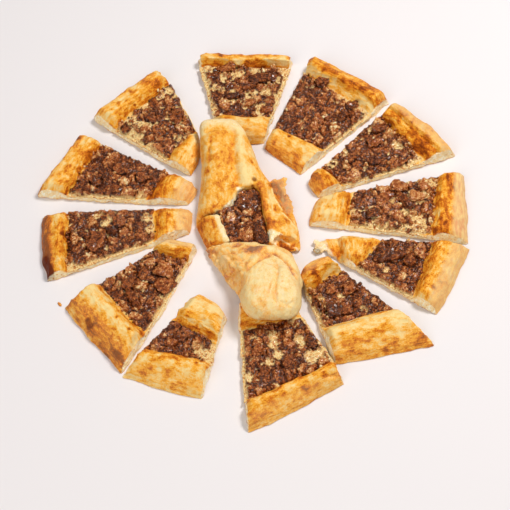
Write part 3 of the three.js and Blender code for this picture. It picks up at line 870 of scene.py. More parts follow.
# ---- The two ends -----------------------------------------------------------------------------
# Marks on the upper end: routes in mm from the low corner of its box.
TORN_EDGE = [(25, 39), (31, 45), (37, 50), (43, 59), (42, 65), (47, 63), (51, 61), (60, 64)]
UPPER_MARKS = (
    Mark([(17, 126), (18, 96), (15, 64)], 9, 1.8),  # the left lobe
    # The fold's seam: a groove darkened with painted shade.
    Mark([(38, 130), (38, 108), (39, 86), (41, 69)], 3.6, -3.2, 0.16),  # the fold's seam
    Mark([(45, 124), (46, 102), (48, 82), (51, 72)], 4.2, 1.5, -0.24),  # the pale lobe beside it
    Mark([(3, 141), (13, 147), (27, 149), (47, 138)], 7.5, 0.8, -0.34, rosy=0.3, crumb=0.35),
    Mark([(13, 132), (25, 137), (39, 132)], 2.6, -1.3, 0.12),
    Mark([(1, 138), (1, 106), (0, 76), (-2, 48)], 6.0, 0, -0.2, rosy=0.8),
    Mark([(17, 124), (14, 110), (15, 98)], 1.8, -1.0, 0.3),  # a crease on the left lobe
    Mark([(28, 126), (27, 110), (30, 92), (31, 76)], 5.0, 0.0, 0.1),
    Mark([(19, 130), (26, 131), (33, 124)], 4.0, 0.3, 0.14),
    Mark([(29, 132), (30, 129)], 1.4, -0.4, 0.3),
    Mark([(9, 126), (9, 119)], 2.6, 0, 0.25),
    Mark([(33, 99), (34, 92)], 4.0, 0, 0.2),
    Mark([(22, 70), (26, 72)], 4.2, 0, 0.3),
    Mark([(13, 87), (15, 82)], 3.0, 0, 0.2),
    Mark([(36, 58), (38, 68)], 2.6, 0, 0.3),
    Mark([(18, 43), (25, 45)], 3.6, 0, 0.32),
    Mark([(55, 98), (60, 90)], 2.2, 0, 0.38),
    Mark([(58, 74)], 3.1, -0.9, 0.3, 0.75),  # the burnt spot
    Mark([(56, 67)], 1.6, -1.4, 0.35, 0.5),
    Mark([(53, 64)], 1.0, -0.8, 0.3, 0.4),
    Mark(TORN_EDGE, 1.9, 0, 0, crumb=1.0, tear=2.0, rough=1.0),
    # A crack where the cover tore off the block, scorched dark as painted shade.
    Mark([(-1, 38), (9, 38), (24, 37)], 1.8, -6.0, 0.15, 0.8),  # torn off the block here
    Mark([(17, 30), (19, 22)], 3.2, 0, 0.36),
    Mark([(3, 30), (11, 6)], 7.0, 0, 0.3),
    Mark([(22, 35), (26, 22), (31, 8)], 4.4, 0.6, -0.5, crumb=0.45, rough=0.8),  # the block's pale inner lip
    Mark([(63, 69), (66, 46), (69, 25), (72, 18)], 4.2, 1.4, 0.42),  # the browned inner ridge
    Mark([(73, 62), (75, 48), (76, 34)], 1.8, -2.4, -0.3),  # the valley behind it
    Mark([(75, 78), (73, 72)], 2.5, 0.5, 0.45),
    Mark([(81, 81), (87, 66), (91, 51)], 8.0, 0, 0.35, rosy=0.55, rough=1.0),  # the thin flap
    Mark([(77, 80), (80, 72), (81, 64)], 3.4, -0.6, 0.3, rosy=-0.3),
    Mark([(86, 66), (85, 60)], 2.0, -0.4, 0.35),
    Mark([(77, 46), (76, 41)], 2.2, 0, 0.5),
    Mark([(84, 64), (84, 52), (86, 38)], 5.5, 0, 0.22),
    Mark([(74, 70), (76, 57), (83, 43)], 0.9, 1.2, -0.45),
    Mark([(82, 89), (88, 86), (91, 74), (93, 62), (96, 50)], 2.2, 0.3, -0.2, tear=2.6),
    Mark([(84, 38), (97, 23)], 1.2, 1.0, -0.4, tear=0.8),
    Mark([(69, 25), (79, 22), (87, 28)], 4.4, 0.8, 0.26),
    Mark([(69, 14), (79, 11), (90, 5), (100, -1)], 1.7, 0.6, -0.4, crumb=0.7, tear=2.4, rough=0.8),
    Mark([(71, 10), (79, 2), (89, -8), (101, -6)], 5.0, 0.0, -0.3, crumb=0.8, rough=1.0),
    # Painted shade inside the roll's open end: browner and never crumby.
    Mark([(83, 5), (92, 0)], 5.0, -1.6, 0.85, crumb=-1.0),  # inside the roll's open end
)

# The thin flap torn loose at its right: middles and half sizes in mm, turns in degrees.
TORN_FLAP = (((80, 72, 7.5), (8.5, 15, 1.6), (0, -3, 10)), ((87, 57, 6.5), (8, 14, 1.6), (4, -6, 24)),
             ((85, 81, 7.5), (5, 8, 1.5), (0, -8, -12)))

# What is hollowed out of the roll's open end: middle, half sizes and turn in the same units.
ROLL_MOUTH = ((91, -1, 14), (19, 13, 6.5), (-30, 0, -33))
# Places to press down, and to what height in mm: the upper end's thin side and the lower end's flap.
THIN_SIDE = Mark([(83, 84), (89, 68), (92, 52)], 8), 7.5
FOLDED_FLAP = Mark([(6, 85), (14, 67), (22, 51)], 7), 9.0

# Marks on the lower end.
LOWER_MARKS = (
    # The long crease: a groove darkened with painted shade.
    Mark([(66, 63), (69, 53), (68, 39), (65, 23), (66, 10)], 1.5, -2.2, 0.2),  # the long crease
    Mark([(74, 51), (75, 37), (74, 21)], 5.0, 1.2, -0.05),
    Mark([(67, 51), (66, 39)], 4.0, -1.0, 0.05),
    Mark([(62, 30), (59, 19)], 1.2, -0.5, 0.25),
    Mark([(60, 69), (50, 61), (40, 51)], 2.4, -2.2, 0.34),
    Mark([(56, 59), (64, 55), (67, 51)], 1.4, -1.0, 0.15),
    Mark([(52, 80), (65, 80), (76, 71), (85, 59), (89, 45)], 3.4, 2.8, -0.12),  # the folded rim
    Mark([(66, 73), (75, 65), (81, 55), (84, 45)], 1.7, -2.8, 0.5),
    Mark([(46, 80), (50, 80), (55, 79)], 3.4, 0.5, 0.8),
    Mark([(42, 77), (52, 74), (60, 71)], 5.5, 0, 0.32),
    Mark([(28, 87), (34, 90)], 3.4, 0, 0.5),
    Mark([(40, 81), (48, 77)], 4.5, 0, 0.4),
    Mark([(12, 86), (22, 70), (32, 52)], 11, 0, 0.16),  # the flap is browner
    Mark([(2, 92), (6, 90)], 4.0, 0, 0.5),
    Mark([(0, 97), (8, 79), (16, 61), (23, 45), (31, 37)], 2.4, 0.3, 0.15, tear=1.6),
    Mark([(18, 61), (21, 51), (25, 47)], 2.4, 0, 0.42),
    Mark([(12, 79), (20, 71)], 4.0, 0.8, -0.25, rosy=0.5),
    Mark([(8, 89), (18, 71), (26, 51)], 9.0, 0, 0, rough=1.5),
    Mark([(6, 95), (20, 91), (32, 87)], 1.8, -1.5, 0.1),
    Mark([(10, 81), (22, 81), (34, 77)], 1.6, -1.6, 0.08),
    Mark([(14, 71), (24, 71), (34, 65)], 1.5, -1.4, 0.1),
    Mark([(18, 59), (26, 59), (32, 53)], 1.5, -1.4, 0.12),
    Mark([(14, 87), (24, 73), (30, 61)], 1.4, -1.0, 0.12),
    Mark([(20, 87), (30, 75), (36, 65)], 1.4, -1.0, 0.1),
    Mark([(43, 71), (36, 55), (33, 37)], 3.4, -1.6, 0.08),  # where the flap leaves the bulb
    Mark([(71, 10), (76, 7), (81, 11)], 1.4, -1.0, 0.12),
    Mark([(68, 42), (70, 20)], 21, 0, -0.07, crumb=0.1),  # the bulb is paler
    Mark([(72, 30)], 1.5, 0, 0.28),
    Mark([(75, 22)], 2.2, 0, 0.22),
    Mark([(50, 12), (56, 6)], 2.4, -0.4, 0.15),
)


def baked_end(piece, corner, marks, press, settings, paleness, seed, softness):
    """Remeshes an end into one skin, then gives it its unevenness, marks and browning. The marks and the
    place to press down, a mark and a height in mm, are counted from the corner."""
    risen(piece, settings.skin, softness)
    points, normals = points_of(piece), normals_of(piece)
    lower_to(points, normals, press[0].moved(corner), press[1])
    under = smooth_step(0.4, 0.8, -normals[:, 2])
    fibres = points / [1, 2, 1]
    streaks = rough_noise(fibres, 6, seed + 5)
    height = 0.9 * (settings.lump / MM) * rough_noise(points, 19, seed) * (1 - under)
    height += 0.5 * (settings.wrinkle / MM) * streaks + FINE_GRAIN * noise(points, 2.2, seed + 17)
    points += normals * height[:, None]
    paints = blank_paints(len(points))
    paints["crumb"] += paleness
    paints["bake"] += 0.27 - paleness + 0.14 * streaks + 0.18 * rough_noise(points, 12, seed + 21)
    marks = [mark.moved(corner) for mark in marks]
    return finish_dough(piece, points, normals, marks, paints, fibres, seed)


def upper_end(settings):
    piece = copy_of("upper_end_dough", "upper_end_baked", creased=False)
    apply_modifier(piece, "SUBSURF", levels=1, render_levels=1)
    corner = low_corner("upper_end_dough")
    mouth, mouth_size, mouth_turn = ROLL_MOUTH
    hollow_out(piece, corner + mouth, mouth_size, mouth_turn)
    for place, size, turn in TORN_FLAP:
        add_lump(piece, corner + place, size, turn)
    return baked_end(piece, corner, UPPER_MARKS, THIN_SIDE, settings, paleness=0.02, seed=3, softness=14)


def lower_end(settings):
    piece = copy_of("lower_end_dough", "lower_end_baked", creased=False)
    apply_modifier(piece, "SUBSURF", levels=2, render_levels=2)
    corner = low_corner("lower_end_dough")
    return baked_end(piece, corner, LOWER_MARKS, FOLDED_FLAP, settings, paleness=0.18, seed=8, softness=30)


# ---- Filling ----------------------------------------------------------------------------------
BED_FOOT = 4.4                          # the bed's underside stands a little inside the dough, in mm
DOUGH_TOP = 5.0
BED_FACES = 132, 120                    # faces of the bed's top across the slice and along it
BED_WIDENING = 1.055                    # how much wider than the filling's outline the bed is
BED_SPAN = 72                           # usual length and width of a filling, in mm
CLUMP, LUMP, BEAD = 11, 4.6, 2.1        # widths of the mince's clumps, lumps and beads, in mm
GAP_DEPTH = 2.4                         # how far the mince's lowest gaps are below its usual height, in mm
GRAIN_SHAPE = [1.3, 0.9, 0.75]          # a grain's length, width and height over its mean width
CHUNK_REACH = 0.55                      # a chunk's half size over its stated size
# Where the meat is missing: (along, across) shares of the filling, and a radius in mm.
BARE = {
    1: [(0.97, 0.95, 5), (0.66, 1.01, 4), (0.92, 0.38, 4.5), (0.16, 1.01, 4), (0.21, 0.45, 3),
        (0.9, 0.03, 3), (0.42, 0.02, 3), (0.53, 0.81, 3.5), (0.51, 0.65, 2.5)],
    2: [(1.06, 0.54, 5), (1.03, 0.39, 7), (1.08, 0.28, 8), (1.05, 0.13, 8), (1.15, 0.04, 9),
        (0.95, -0.05, 7), (1.2, -0.05, 7), (1.05, 1.02, 5)],
    3: [(0.34, 0.88, 3.5), (0.89, 0.41, 4), (0.87, 0.01, 4), (0.93, 0.7, 3), (0.13, 0.91, 5),
        (0.98, 0.08, 4)],
    4: [(0.72, 0.68, 4), (0.88, 0.7, 3.5), (0.93, 0.91, 4), (0.66, 0.38, 4), (0.81, 0.25, 5),
        (0.87, 0.07, 4), (0.31, 0.01, 4.5), (0.55, 1.13, 3)],
    5: [(0.43, 0.23, 2.5), (0.45, 0.53, 2.5)],
    6: [(0.41, 0.56, 2.5), (0.3, 0.2, 2)],
    7: [(0.2, 0.45, 5), (0.37, 0.42, 4), (0.53, 0.45, 4), (0.6, 0.33, 4), (0.41, 0.79, 3.5), (0.76, 0.82, 6),
        (0.73, 0.93, 5), (0.7, 0.05, 3.5), (-0.02, 0.02, 3.5)],
    8: [(0.53, 0.72, 4.5), (0.63, 0.87, 5), (0.68, 0.96, 4), (0.91, 0.11, 2)],
    9: [(0.54, 0.89, 2.5)],
    10: [(0.64, 0.1, 3.5), (0.59, 0.28, 3.5), (0.08, 0.26, 4.5), (0.06, 0.61, 4.5), (0.66, 1.03, 2.5),
         (0.95, 0.98, 5), (0.4, 1.09, 3), (0.22, 1.04, 3.5)],
    11: [(0.12, 0.91, 2.5), (0.57, 1.06, 2.5)],
    12: [(0.76, 1.0, 3.5), (0.62, 0.94, 4.5), (0.54, 1.11, 4), (0.32, 1.07, 4.5), (0.16, 1.07, 4),
         (0.96, 0.47, 3.5), (0.89, 0.05, 4), (0.88, 0.16, 3), (0.03, 0.24, 3), (1.18, 0.93, 5)],
}
# Flat chunks on the mince: (along, across), length, width and height in mm, turn in degrees, tint.
CHUNKS = {
    1: [(0.78, 0.25, 25, 12, 3.4, 0, 0.12), (0.96, 0.7, 16, 9, 3.4, 25, 0.32),
        (0.41, 0.66, 11, 7, 3, 0, 0.02), (0.15, 0.1, 11, 7, 3, 0, 0.3), (0.28, 0.39, 9, 7, 3, 0, 0.4),
        (0.6, 0.42, 13, 6, 3, 20, 0.2)],
    2: [(1.0, 0.73, 13, 9, 3.2, 0, 0.2), (0.95, 0.22, 13, 7, 3, 15, 0.22),
        (0.44, 0.46, 11, 8, 2.8, -30, 0.35), (0.68, 0.2, 12, 7, 3, 40, 0.15)],
    3: [(0.85, 0.84, 10, 8, 3, 0, 0.2), (0.71, 0.66, 15, 9, 3, 10, 0.3), (0.32, 0.66, 9, 7, 3, 0, 0.2),
        (0.75, 0.08, 9, 6, 2.6, 0, 0.3), (0.5, 0.35, 12, 7, 3, -20, 0.15)],
    4: [(0.54, 0.93, 15, 10, 3, -25, 0.4), (0.63, 0.59, 20, 6, 4.5, -58, 0.2),
        (0.76, 0.67, 14, 11, 3, 0, 0.5), (0.29, 0.32, 11, 8, 3, 0, 0.15), (0.4, 0.7, 12, 8, 3, 10, 0.3)],
    5: [(0.27, 0.56, 19, 16, 4, 30, 0.12), (0.48, 0.59, 11, 12, 3.5, -60, 0.2),
        (0.74, 0.56, 11, 9, 3, 0, 0.25)],
    6: [(0.67, 0.26, 13, 13, 4.5, 90, 0.05), (0.69, 0.44, 12, 12, 3.4, 0, 0.2),
        (0.24, 0.47, 9, 7, 3, 0, 0.3), (0.37, 0.76, 11, 8, 3, 0, 0.3)],
    7: [(0.75, 0.57, 14, 11, 3.2, 0, 0.2), (0.54, 0.92, 10, 9, 3.2, 0, 0.12), (0.39, 0.2, 12, 9, 3, 0, 0.3),
        (0.76, 0.24, 12, 9, 3, 0, 0.2)],
    8: [(0.39, 0.35, 11, 8, 3, -30, 0.2), (0.92, 0.3, 10, 7, 2.8, 0, 0.2), (0.6, 0.3, 9, 6, 3, 20, 0.35)],
    9: [(0.79, 0.54, 21, 7, 4, -58, 0.25), (0.43, 0.42, 16, 11, 3.6, -30, 0.25),
        (0.22, 0.65, 20, 13, 4.2, -25, 0.38), (0.4, 0.89, 16, 12, 3.6, 0, 0.3),
        (0.67, 0.29, 13, 9, 3.2, 0, 0.25)],
    10: [(0.66, 0.6, 27, 14, 4.0, 80, 0.22), (0.48, 0.5, 11, 7, 3.2, -40, 0.02),
         (0.8, 0.45, 10, 8, 3, 0, 0.2), (0.4, 0.29, 13, 10, 3, 0, 0.25)],
    11: [(0.57, 0.34, 12, 9, 2.8, -30, 0.25), (0.25, 0.39, 11, 8, 2.8, 0, 0.25),
         (0.75, 0.7, 11, 8, 3, 40, 0.15)],
    12: [(0.43, 0.2, 16, 12, 3.4, -70, 0.23), (0.74, 0.55, 13, 9, 3.2, -60, 0.2),
         (0.85, 0.92, 9, 8, 3, 0, 0.15), (0.41, 0.64, 12, 8, 3, 0, 0.25)],
}
# How far the meat stops short of the right and the left cut, in mm.
MARGINS = {1: (1.8, 1.8), 2: (0.9, 0), 3: (0.9, 0), 4: (1.6, 0), 5: (0.5, 0), 6: (1.4, 0), 7: (1.2, 1.2),
           8: (0, 5.5), 9: (0, 1.2), 10: (0, 2.0), 11: (0, 1.4), 12: (0, 2.0)}
# Cracks through the meat, darkened with painted shade: routes in the same shares.
CRACKS = {
    9: [[(0.42, 0.14), (0.33, 0.34), (0.3, 0.56), (0.12, 0.8)], [(0.5, 0.5), (0.42, 0.72)]],
    10: [[(0.62, 0.3), (0.5, 0.52), (0.38, 0.72)]],
    3: [[(0.55, 0.75), (0.5, 0.5)]], 5: [[(0.42, 0.4), (0.5, 0.72)]], 7: [[(0.85, 0.4), (0.6, 0.5)]],
    12: [[(0.35, 0.35), (0.5, 0.4)], [(0.7, 0.7), (0.6, 0.6)]], 1: [[(0.75, 0.6), (0.62, 0.55)]],
}
# How much of a filling is thin and patchy, as a level of noise: the lower, the more.
PLAIN_PATCHY = 0.6
PATCHY = {1: 0.22, 3: 0.42, 4: 0.34, 7: 0.42, 12: 0.30}


def bareness(plan, points):
    """1 where the meat is missing, with a ragged border."""
    seed = plan.number
    flat = points * [1, 1, 0]
    level = PATCHY.get(seed, PLAIN_PATCHY)
    swirl = flat + 2.5 * noise(flat, 4, seed + 9)[:, None]
    bare = smooth_step(level, level + 0.15, rough_noise(swirl, 9, seed + 15))
    wander = 2.6 * rough_noise(flat, 4, seed)
    for along, across, radius in BARE[plan.number]:
        x, y = plan.on_filling(along, across)
        away = np.hypot(points[:, 0] - x, points[:, 1] - y) + wander
        bare = np.maximum(bare, 1 - smooth_step(0.85 * radius, 1.5 * radius, away))
    # Scraps of meat lie over the patches.
    return bare * smooth_step(-0.7, -0.35, rough_noise(swirl, 3, seed + 25))


def reach_of_chunks(points, middles, rows):
    """How far each point is from the nearest chunk's middle, 1 at the chunk's rim."""
    nearest = np.full(len(points), np.inf)
    for middle, (length, width, _, turn, _) in zip(middles, rows):
        offset = points[:, :2] - middle[:2]
        lengthwise = np.array([math.cos(math.radians(turn)), math.sin(math.radians(turn))])
        sideways = np.array([-lengthwise[1], lengthwise[0]])
        reach = np.hypot(offset @ lengthwise / (CHUNK_REACH * length),
                         offset @ sideways / (CHUNK_REACH * width))
        nearest = np.minimum(nearest, reach)
    return nearest


def chunks_of(plan):
    """The middles in plan of a slice's chunks, and their rows of length, width, height, turn and tint."""
    rows = CHUNKS[plan.number]
    return [plan.on_filling(*row[:2]) for row in rows], [row[2:] for row in rows]


def mince(points, seed, settings, cracks=()):
    """Height of the meat over its lowest, in mm, and its tint: clumps, lumps and grains with deep gaps.
    The tint is darker in the gaps and cracks, which is painted shade.
    """
    flat = points * [1, 1, 0]
    swirl = flat + 1.8 * noise(flat, 5, seed)[:, None] + 0.7 * noise(flat, 1.8, seed + 1)[:, None]
    clumps, clump = cells(swirl * [1, 0.8, 1], CLUMP, seed + 30)
    lumps, number = cells(swirl, LUMP, seed)
    beads, shade = cells(swirl, BEAD, seed + 12)
    gaps = smooth_step(0.02, 0.3, clumps)
    for route in cracks:
        gaps = np.minimum(gaps, 1 - Mark(route, 1.5).share(swirl))
    height = settings.bed / MM - GAP_DEPTH + 1.0 * rough_noise(flat, 15, seed + 2)
    height += (0.8 + 2.4 * clump) * gaps
    height += 1.1 * np.sqrt(lumps) * (0.4 + 1.0 * number) + 0.9 * np.sqrt(beads) * (0.3 + shade)
    tint = 0.1 + 0.24 * clump + 0.12 * rough_noise(flat, 13, seed + 40)
    tint += 0.26 * np.sqrt(lumps) * (0.3 + 1.0 * number) + 0.42 * np.sqrt(beads) * (shade - 0.15)
    # Painted shade: the tint falls off in the gaps and cracks.
    return height, tint * (0.2 + 0.8 * gaps)


def margin(plan, points, across):
    """1 on the strip beside each cut that the meat leaves bare."""
    right, left = MARGINS[plan.number]
    width = np.linalg.norm(plan.filling_corners[2] - plan.filling_corners[3])
    wander = 1.4 * rough_noise(points * [1, 1, 0], 6, plan.number + 80)
    at_right = 1 - smooth_step(-0.8, 0.8, across * width - right + wander)
    at_left = 1 - smooth_step(-0.8, 0.8, (1 - across) * width - left + wander)
    return np.maximum(at_right * (right > 0), at_left * (left > 0))


def cracks_of(plan):
    return [[plan.on_filling(*place) for place in route] for route in CRACKS.get(plan.number, ())]


def bed_grid():
    """A fine grid over a plain foot: its points' places across and along it, from -0.5 to 0.5, which of
    them are on its top, and its faces."""
    x, y = np.meshgrid(*(np.linspace(-0.5, 0.5, count + 1) for count in BED_FACES))
    number = np.arange(x.size).reshape(x.shape)
    # A slice's shares run the other way round than x and y, so the faces are listed clockwise.
    top = np.stack([number[:-1, :-1], number[1:, :-1], number[1:, 1:], number[:-1, 1:]], -1)
    border = np.concatenate([number[0, :-1], number[:-1, -1], number[-1, :0:-1], number[:0:-1, 0]])
    foot = x.size + np.arange(len(border))
    sides = np.column_stack([foot, border, np.roll(border, -1), np.roll(foot, -1)])
    faces = [*top.reshape(-1, 4).tolist(), *sides.tolist(), foot.tolist()]
    grid = np.column_stack([x.ravel(), y.ravel()])
    grid = np.concatenate([grid, grid[border]])
    return grid, np.arange(len(grid)) < x.size, faces


def filling_bed(plan, settings):
    """The meat bed: a fine grid over the filling's outline, with sides down into the dough."""
    grid, top, faces = bed_grid()
    across, along = BED_WIDENING * grid[:, 0] + 0.5, grid[:, 1] + 0.5
    flat = plan.spot(plan.filling_corners, along, across)
    points = np.column_stack([flat, np.full(len(flat), BED_FOOT)])
    # Its sides are as ragged as chopped meat is.
    rim = (0.5 - np.abs(grid).max(axis=1)) * BED_SPAN
    ragged = 1 - smooth_step(0, 5, rim)
    for axis in (0, 1):
        points[:, axis] += 1.7 * rough_noise(points, 5.5, plan.number + 40 * axis) * ragged
    height, tint = mince(points, plan.number * 7, settings, cracks_of(plan))
    # A groove runs round each chunk, darkened with painted shade.
    reach = reach_of_chunks(points, *chunks_of(plan))
    groove = smooth_step(0.7, 1.0, reach) * (1 - smooth_step(1.1, 1.45, reach))
    height -= 1.4 * groove
    tint *= 1 - 0.75 * groove
    height = height * (0.3 + 0.7 * smooth_step(0, 3.0, rim))
    patch = bareness(plan, points)
    strip = margin(plan, points, across)
    for share, level in ((patch, 1.9), (strip, 0.5)):
        height += share * (level + 0.8 * rough_noise(points, 3, plan.number + 60) - height)
    points[:, 2] = np.where(top, DOUGH_TOP + height, BED_FOOT)
    piece = new_piece(f"{plan.filling_node}_bed", boxed(points), faces)
    paint(piece, "tint", tint)
    paint(piece, "pale", np.maximum(patch, strip))
    return piece


def grain_shapes(count, seed, levels=1):
    """A few lumpy grains, each a small smoothed cube that was knocked out of shape."""
    bpy.ops.object.select_all(action="DESELECT")
    bpy.ops.mesh.primitive_cube_add(size=2)
    cube = bpy.context.object
    apply_modifier(cube, "SUBSURF", levels=levels, render_levels=levels)
    points = points_of(cube) * MM
    points /= np.linalg.norm(points, axis=1).mean()
    faces = np.array([list(face.vertices) for face in cube.data.polygons])
    bpy.data.objects.remove(cube)
    shapes = []
    for i in range(count):
        swell = 1 + 0.42 * noise(points, 0.8, seed + 5 * i) + 0.2 * noise(points, 0.4, seed + 5 * i + 2)
        shapes.append(points * swell[:, None] * GRAIN_SHAPE)
    return np.array(shapes), faces


def turned(angles):
    """Rotation matrices for rows of three angles."""
    return np.array([Euler(row).to_matrix() for row in angles])


def many(name, shapes, faces, places, turns, tints):
    """Many small shapes as one mesh, each at its place with its own turn and tint."""
    points = np.einsum("nij,nkj->nki", turns, shapes) + places[:, None, :]
    corner_count = shapes.shape[1]
    offsets = np.arange(len(places))[:, None, None] * corner_count
    all_faces = (faces[None] + offsets).reshape(-1, faces.shape[1])
    piece = new_piece(name, points.reshape(-1, 3), all_faces.tolist())
    paint(piece, "tint", np.repeat(tints, corner_count))
    paint(piece, "pale", np.zeros(len(places) * corner_count))
    return piece


def grains(name, places, tints, settings, seed):
    """Loose grains of mince at these places."""
    draw = np.random.default_rng(seed)
    shapes, faces = grain_shapes(8, seed)
    radii = 0.5 * (settings.grain / MM) * np.exp(draw.normal(0, 0.32, len(places)))
    kind = draw.integers(0, len(shapes), len(places))
    turns = turned(draw.uniform(0, 2 * math.pi, (len(places), 3)))
    sunk = places - np.array([0, 0, 1]) * (0.7 * radii)[:, None]
    return many(name, shapes[kind] * radii[:, None, None], faces, sunk, turns, tints)


def scatter_on_slice(plan, settings):
    draw = np.random.default_rng(plan.number)
    spacing = settings.spacing / MM
    width = max(plan.width)
    rows = int(plan.length / spacing)
    columns = int(width / spacing)
    along, across = np.meshgrid((np.arange(rows) + 0.5) / rows, (np.arange(columns) + 0.5) / columns)
    along = along.ravel() + draw.uniform(-0.5, 0.5, along.size) / rows
    across = across.ravel() + draw.uniform(-0.5, 0.5, across.size) / columns
    flat = plan.spot(plan.corners, along, across)
    along, across = plan.shares(flat, plan.filling_corners)
    keep = (along > -0.01) & (along < 1.01) & (across > 0.0) & (across < 1.0)
    # The slice narrows inward, so fewer of the evenly shared places are kept there.
    narrowing = plan.width[0] + (plan.width[1] - plan.width[0]) * along
    keep &= draw.random(len(along)) < narrowing / width + 0.1
    points = np.column_stack([flat, np.zeros(len(flat))])
    bare = np.maximum(bareness(plan, points), margin(plan, points, across))
    keep &= draw.random(len(along)) > 1.5 * bare
    keep &= reach_of_chunks(points, *chunks_of(plan)) > 1.12
    points = points[keep]
    height, tint = mince(points, plan.number * 7, settings, cracks_of(plan))
    points[:, 2] = DOUGH_TOP + height
    tints = np.maximum(draw.normal(0.04, 0.16, len(points)) + 1.1 * tint, 0.12)
    return grains(f"{plan.filling_node}_grains", points, tints, settings, plan.number)


def chunks(name, places, rows, seed):
    """Flat chunks of meat: their middles, and rows of length, width, height, turn and tint."""
    shapes, faces = grain_shapes(len(rows), seed, levels=4)
    lengths, widths, heights, angles, tints = np.array(rows, float).T
    sizes = np.column_stack([CHUNK_REACH * lengths, CHUNK_REACH * widths, 0.8 * heights])
    shapes = shapes / GRAIN_SHAPE * sizes[:, None, :]
    for size, depth in ((7, 1.5), (3.5, 0.9), (1.8, 0.4)):
        shapes += depth * noise(shapes.reshape(-1, 3), size, seed).reshape(len(rows), -1, 1)
    turns = turned([(0, 0, math.radians(angle)) for angle in angles])
    return many(name, shapes, faces, places, turns, tints)


def chunks_on_slice(plan, settings):
    flat, rows = chunks_of(plan)
    places = np.column_stack([flat, np.zeros(len(rows))])
    level, _ = mince(places, plan.number * 7, settings)
    places[:, 2] = DOUGH_TOP + np.maximum(level, settings.bed / MM) - 0.2
    return chunks(f"{plan.filling_node}_chunks", places, rows, plan.number + 3)


# The dark chunk low in the upper end's meat, and two on the heap: their middles in mm, counted from
# the low corner of its box, and their rows.
END_CHUNK_PLACES = low_corner("upper_end_filling") + [(38, 13, 6.1), (26, 46, 9.1), (17, 26, 6.6)]
END_CHUNKS = [(24, 10, 3.8, -72, 0.08), (13, 8, 3.0, 30, 0.14), (12, 7, 2.8, -40, 0.1)]


def end_filling(settings):
    """The meat that shows in the upper end, heaped up under the torn edge."""
    piece = copy_of("upper_end_filling", "upper_end_filling_bed", creased=False)
    risen(piece, settings.skin, 4)
    points, normals = points_of(piece), normals_of(piece)
    upward = smooth_step(0.1, 0.6, normals[:, 2])
    height, tint = mince(points, 5, settings)
    corner = low_corner("upper_end_filling")
    heap = 7.0 * Mark([(-2, 38), (12, 54), (24, 66), (40, 68)], 13).moved(corner).share(points)
    points[:, 2] += upward * (height - 3.0 + heap)
    move_points(piece, points)
    paint(piece, "tint", tint)
    paint(piece, "pale", np.zeros(len(points)))
    return piece


def end_grains(bed, settings):
    """Grains on the upper end's meat, one for each small square of its top."""
    draw = np.random.default_rng(77)
    points, normals = points_of(bed), normals_of(bed)
    top = points[normals[:, 2] > 0.25]
    squares = np.floor(top[:, :2] / (settings.spacing / MM)).astype(int)
    order = draw.permutation(len(top))
    _, first = np.unique(squares[order], axis=0, return_index=True)
    places = top[order][first]
    places = places[reach_of_chunks(places, END_CHUNK_PLACES, END_CHUNKS) > 1.1]
    _, tint = mince(places, 5, settings)
    tints = draw.normal(0.0, 0.16, len(places)) + 1.1 * tint
    return grains("upper_end_filling_grains", places, tints, settings, 78)


# ---- Stage ------------------------------------------------------------------------------------
FLOOR_SIZE = 6                          # in metres
AMBIENT = 0.33                          # strength of the light from all around
# Lamps: name, place and size in metres, power in watts.
LIGHTS = (("key", (0.85, 0.5, 1.6), 0.42, 25), ("fill", (-1.0, -1.4, 1.3), 1.6, 18))
SENSOR_WIDTH = 36                       # in mm
CAMERA_SHIFT = 0.002, -0.0422           # in shares of the sensor's width
CAMERA_AIM = 1.27, 0.14, 0              # in mm
CAMERA_SIGHT = 20                       # how far the camera sees, in metres


# ---- Operators --------------------------------------------------------------------------------
class PIDE_OT_slices_dough(bpy.types.Operator):
    """Bakes the dough of every slice"""
    bl_idname = "pide.slices_dough"
    bl_label = "Slices' dough"

    def execute(self, context):
        settings = context.scene.pide_dough
        material = dough_material("baked_slices", settings, 0.82)
        for plan in PLANS:
            finish_piece(slice_dough(plan, settings), material, "golden_dough", plan.dough_node)
        return {"FINISHED"}


class PIDE_OT_slices_filling(bpy.types.Operator):
    """Fills every slice with minced meat"""
    bl_idname = "pide.slices_filling"
    bl_label = "Slices' filling"

    def execute(self, context):
        settings = context.scene.pide_filling
        bed_material = meat_material("meat_bed", settings, 0.26)
        grain_material = meat_material("meat_grains", settings, 0.17)
        for plan in PLANS:
            for build, material in ((filling_bed, bed_material), (scatter_on_slice, grain_material),
                                    (chunks_on_slice, bed_material)):
                finish_piece(build(plan, settings), material, "filling", plan.filling_node)
        bed = end_filling(settings)
        finish_piece(bed, bed_material, "filling", "upper_end_filling")
        finish_piece(end_grains(bed, settings), grain_material, "filling", "upper_end_filling")
        end_chunks = chunks("upper_end_filling_chunks", END_CHUNK_PLACES, END_CHUNKS, 5)
        finish_piece(end_chunks, bed_material, "filling", "upper_end_filling")
        return {"FINISHED"}


class PIDE_OT_ends(bpy.types.Operator):
    """Bakes the two uncut ends"""
    bl_idname = "pide.ends"
    bl_label = "Uncut ends"

    def execute(self, context):
        settings = context.scene.pide_dough
        material = dough_material("baked_ends", settings, 0.68)
        finish_piece(upper_end(settings), material, "golden_dough", "upper_end_dough")
        finish_piece(lower_end(settings), material, "pale_dough", "lower_end_dough")
        return {"FINISHED"}


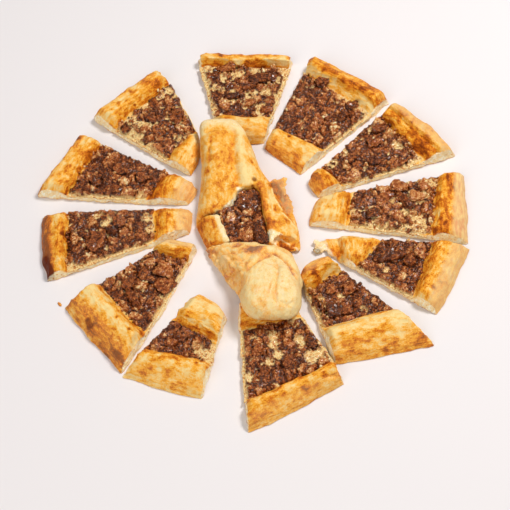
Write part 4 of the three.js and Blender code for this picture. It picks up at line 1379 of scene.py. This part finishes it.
class PIDE_OT_stage(bpy.types.Operator):
    """Sets the floor, the light and the camera"""
    bl_idname = "pide.stage"
    bl_label = "Stage"

    def execute(self, context):
        settings = context.scene.pide_stage
        scene = context.scene
        scene.view_settings.view_transform = "Standard"
        bpy.ops.object.select_all(action="DESELECT")
        bpy.ops.mesh.primitive_plane_add(size=FLOOR_SIZE)
        floor = context.object
        floor.name = "floor"
        make = Maker("floor")
        floor.data.materials.append(make.finish(Base_Color=linear(settings.floor), Roughness=0.8))

        world = bpy.data.worlds.new("studio")
        world.use_nodes = True
        background = world.node_tree.nodes["Background"]
        background.inputs["Color"].default_value = (1, 1, 1, 1)
        background.inputs["Strength"].default_value = AMBIENT
        scene.world = world
        for name, place, size, power in LIGHTS:
            bpy.ops.object.light_add(type="AREA", location=place)
            light = context.object
            light.name = name
            light.data.size = size
            light.data.energy = power
            light.rotation_euler = Vector(place).to_track_quat("Z", "Y").to_euler()

        bpy.ops.object.camera_add()
        camera = context.object
        camera.name = "camera"
        camera.data.lens = settings.lens
        camera.data.sensor_width = SENSOR_WIDTH
        camera.data.shift_x, camera.data.shift_y = CAMERA_SHIFT
        camera.data.clip_end = CAMERA_SIGHT
        level = Vector((0, -math.cos(settings.elevation), math.sin(settings.elevation)))
        aim = Vector(CAMERA_AIM) * MM
        camera.location = aim + settings.distance * level
        facing = level.to_track_quat("Z", "Y")
        camera.rotation_euler = (facing @ Euler((0, 0, settings.roll)).to_quaternion()).to_euler()
        scene.camera = camera
        return {"FINISHED"}


class PIDE_PT_panel(bpy.types.Panel):
    """Lists the pide's operators"""
    bl_idname = "PIDE_PT_panel"
    bl_label = "Turkish Pide"
    bl_space_type = "VIEW_3D"
    bl_region_type = "UI"
    bl_category = "Pide"

    def draw(self, context):
        for operator in OPERATORS:
            self.layout.operator(operator.bl_idname)


OPERATORS = (PIDE_OT_stage, PIDE_OT_slices_dough, PIDE_OT_slices_filling, PIDE_OT_ends)
SETTINGS = {"pide_dough": DoughSettings, "pide_filling": FillingSettings, "pide_stage": StageSettings}
CLASSES = (*SETTINGS.values(), *OPERATORS, PIDE_PT_panel)


def register():
    for each in CLASSES:
        bpy.utils.register_class(each)
    for name, group in SETTINGS.items():
        setattr(bpy.types.Scene, name, bpy.props.PointerProperty(type=group))


def unregister():
    for name in SETTINGS:
        delattr(bpy.types.Scene, name)
    for each in reversed(CLASSES):
        bpy.utils.unregister_class(each)


def main():
    register()
    for operator in OPERATORS:
        family, name = operator.bl_idname.split(".")
        getattr(getattr(bpy.ops, family), name)()


if __name__ == "__main__":
    main()
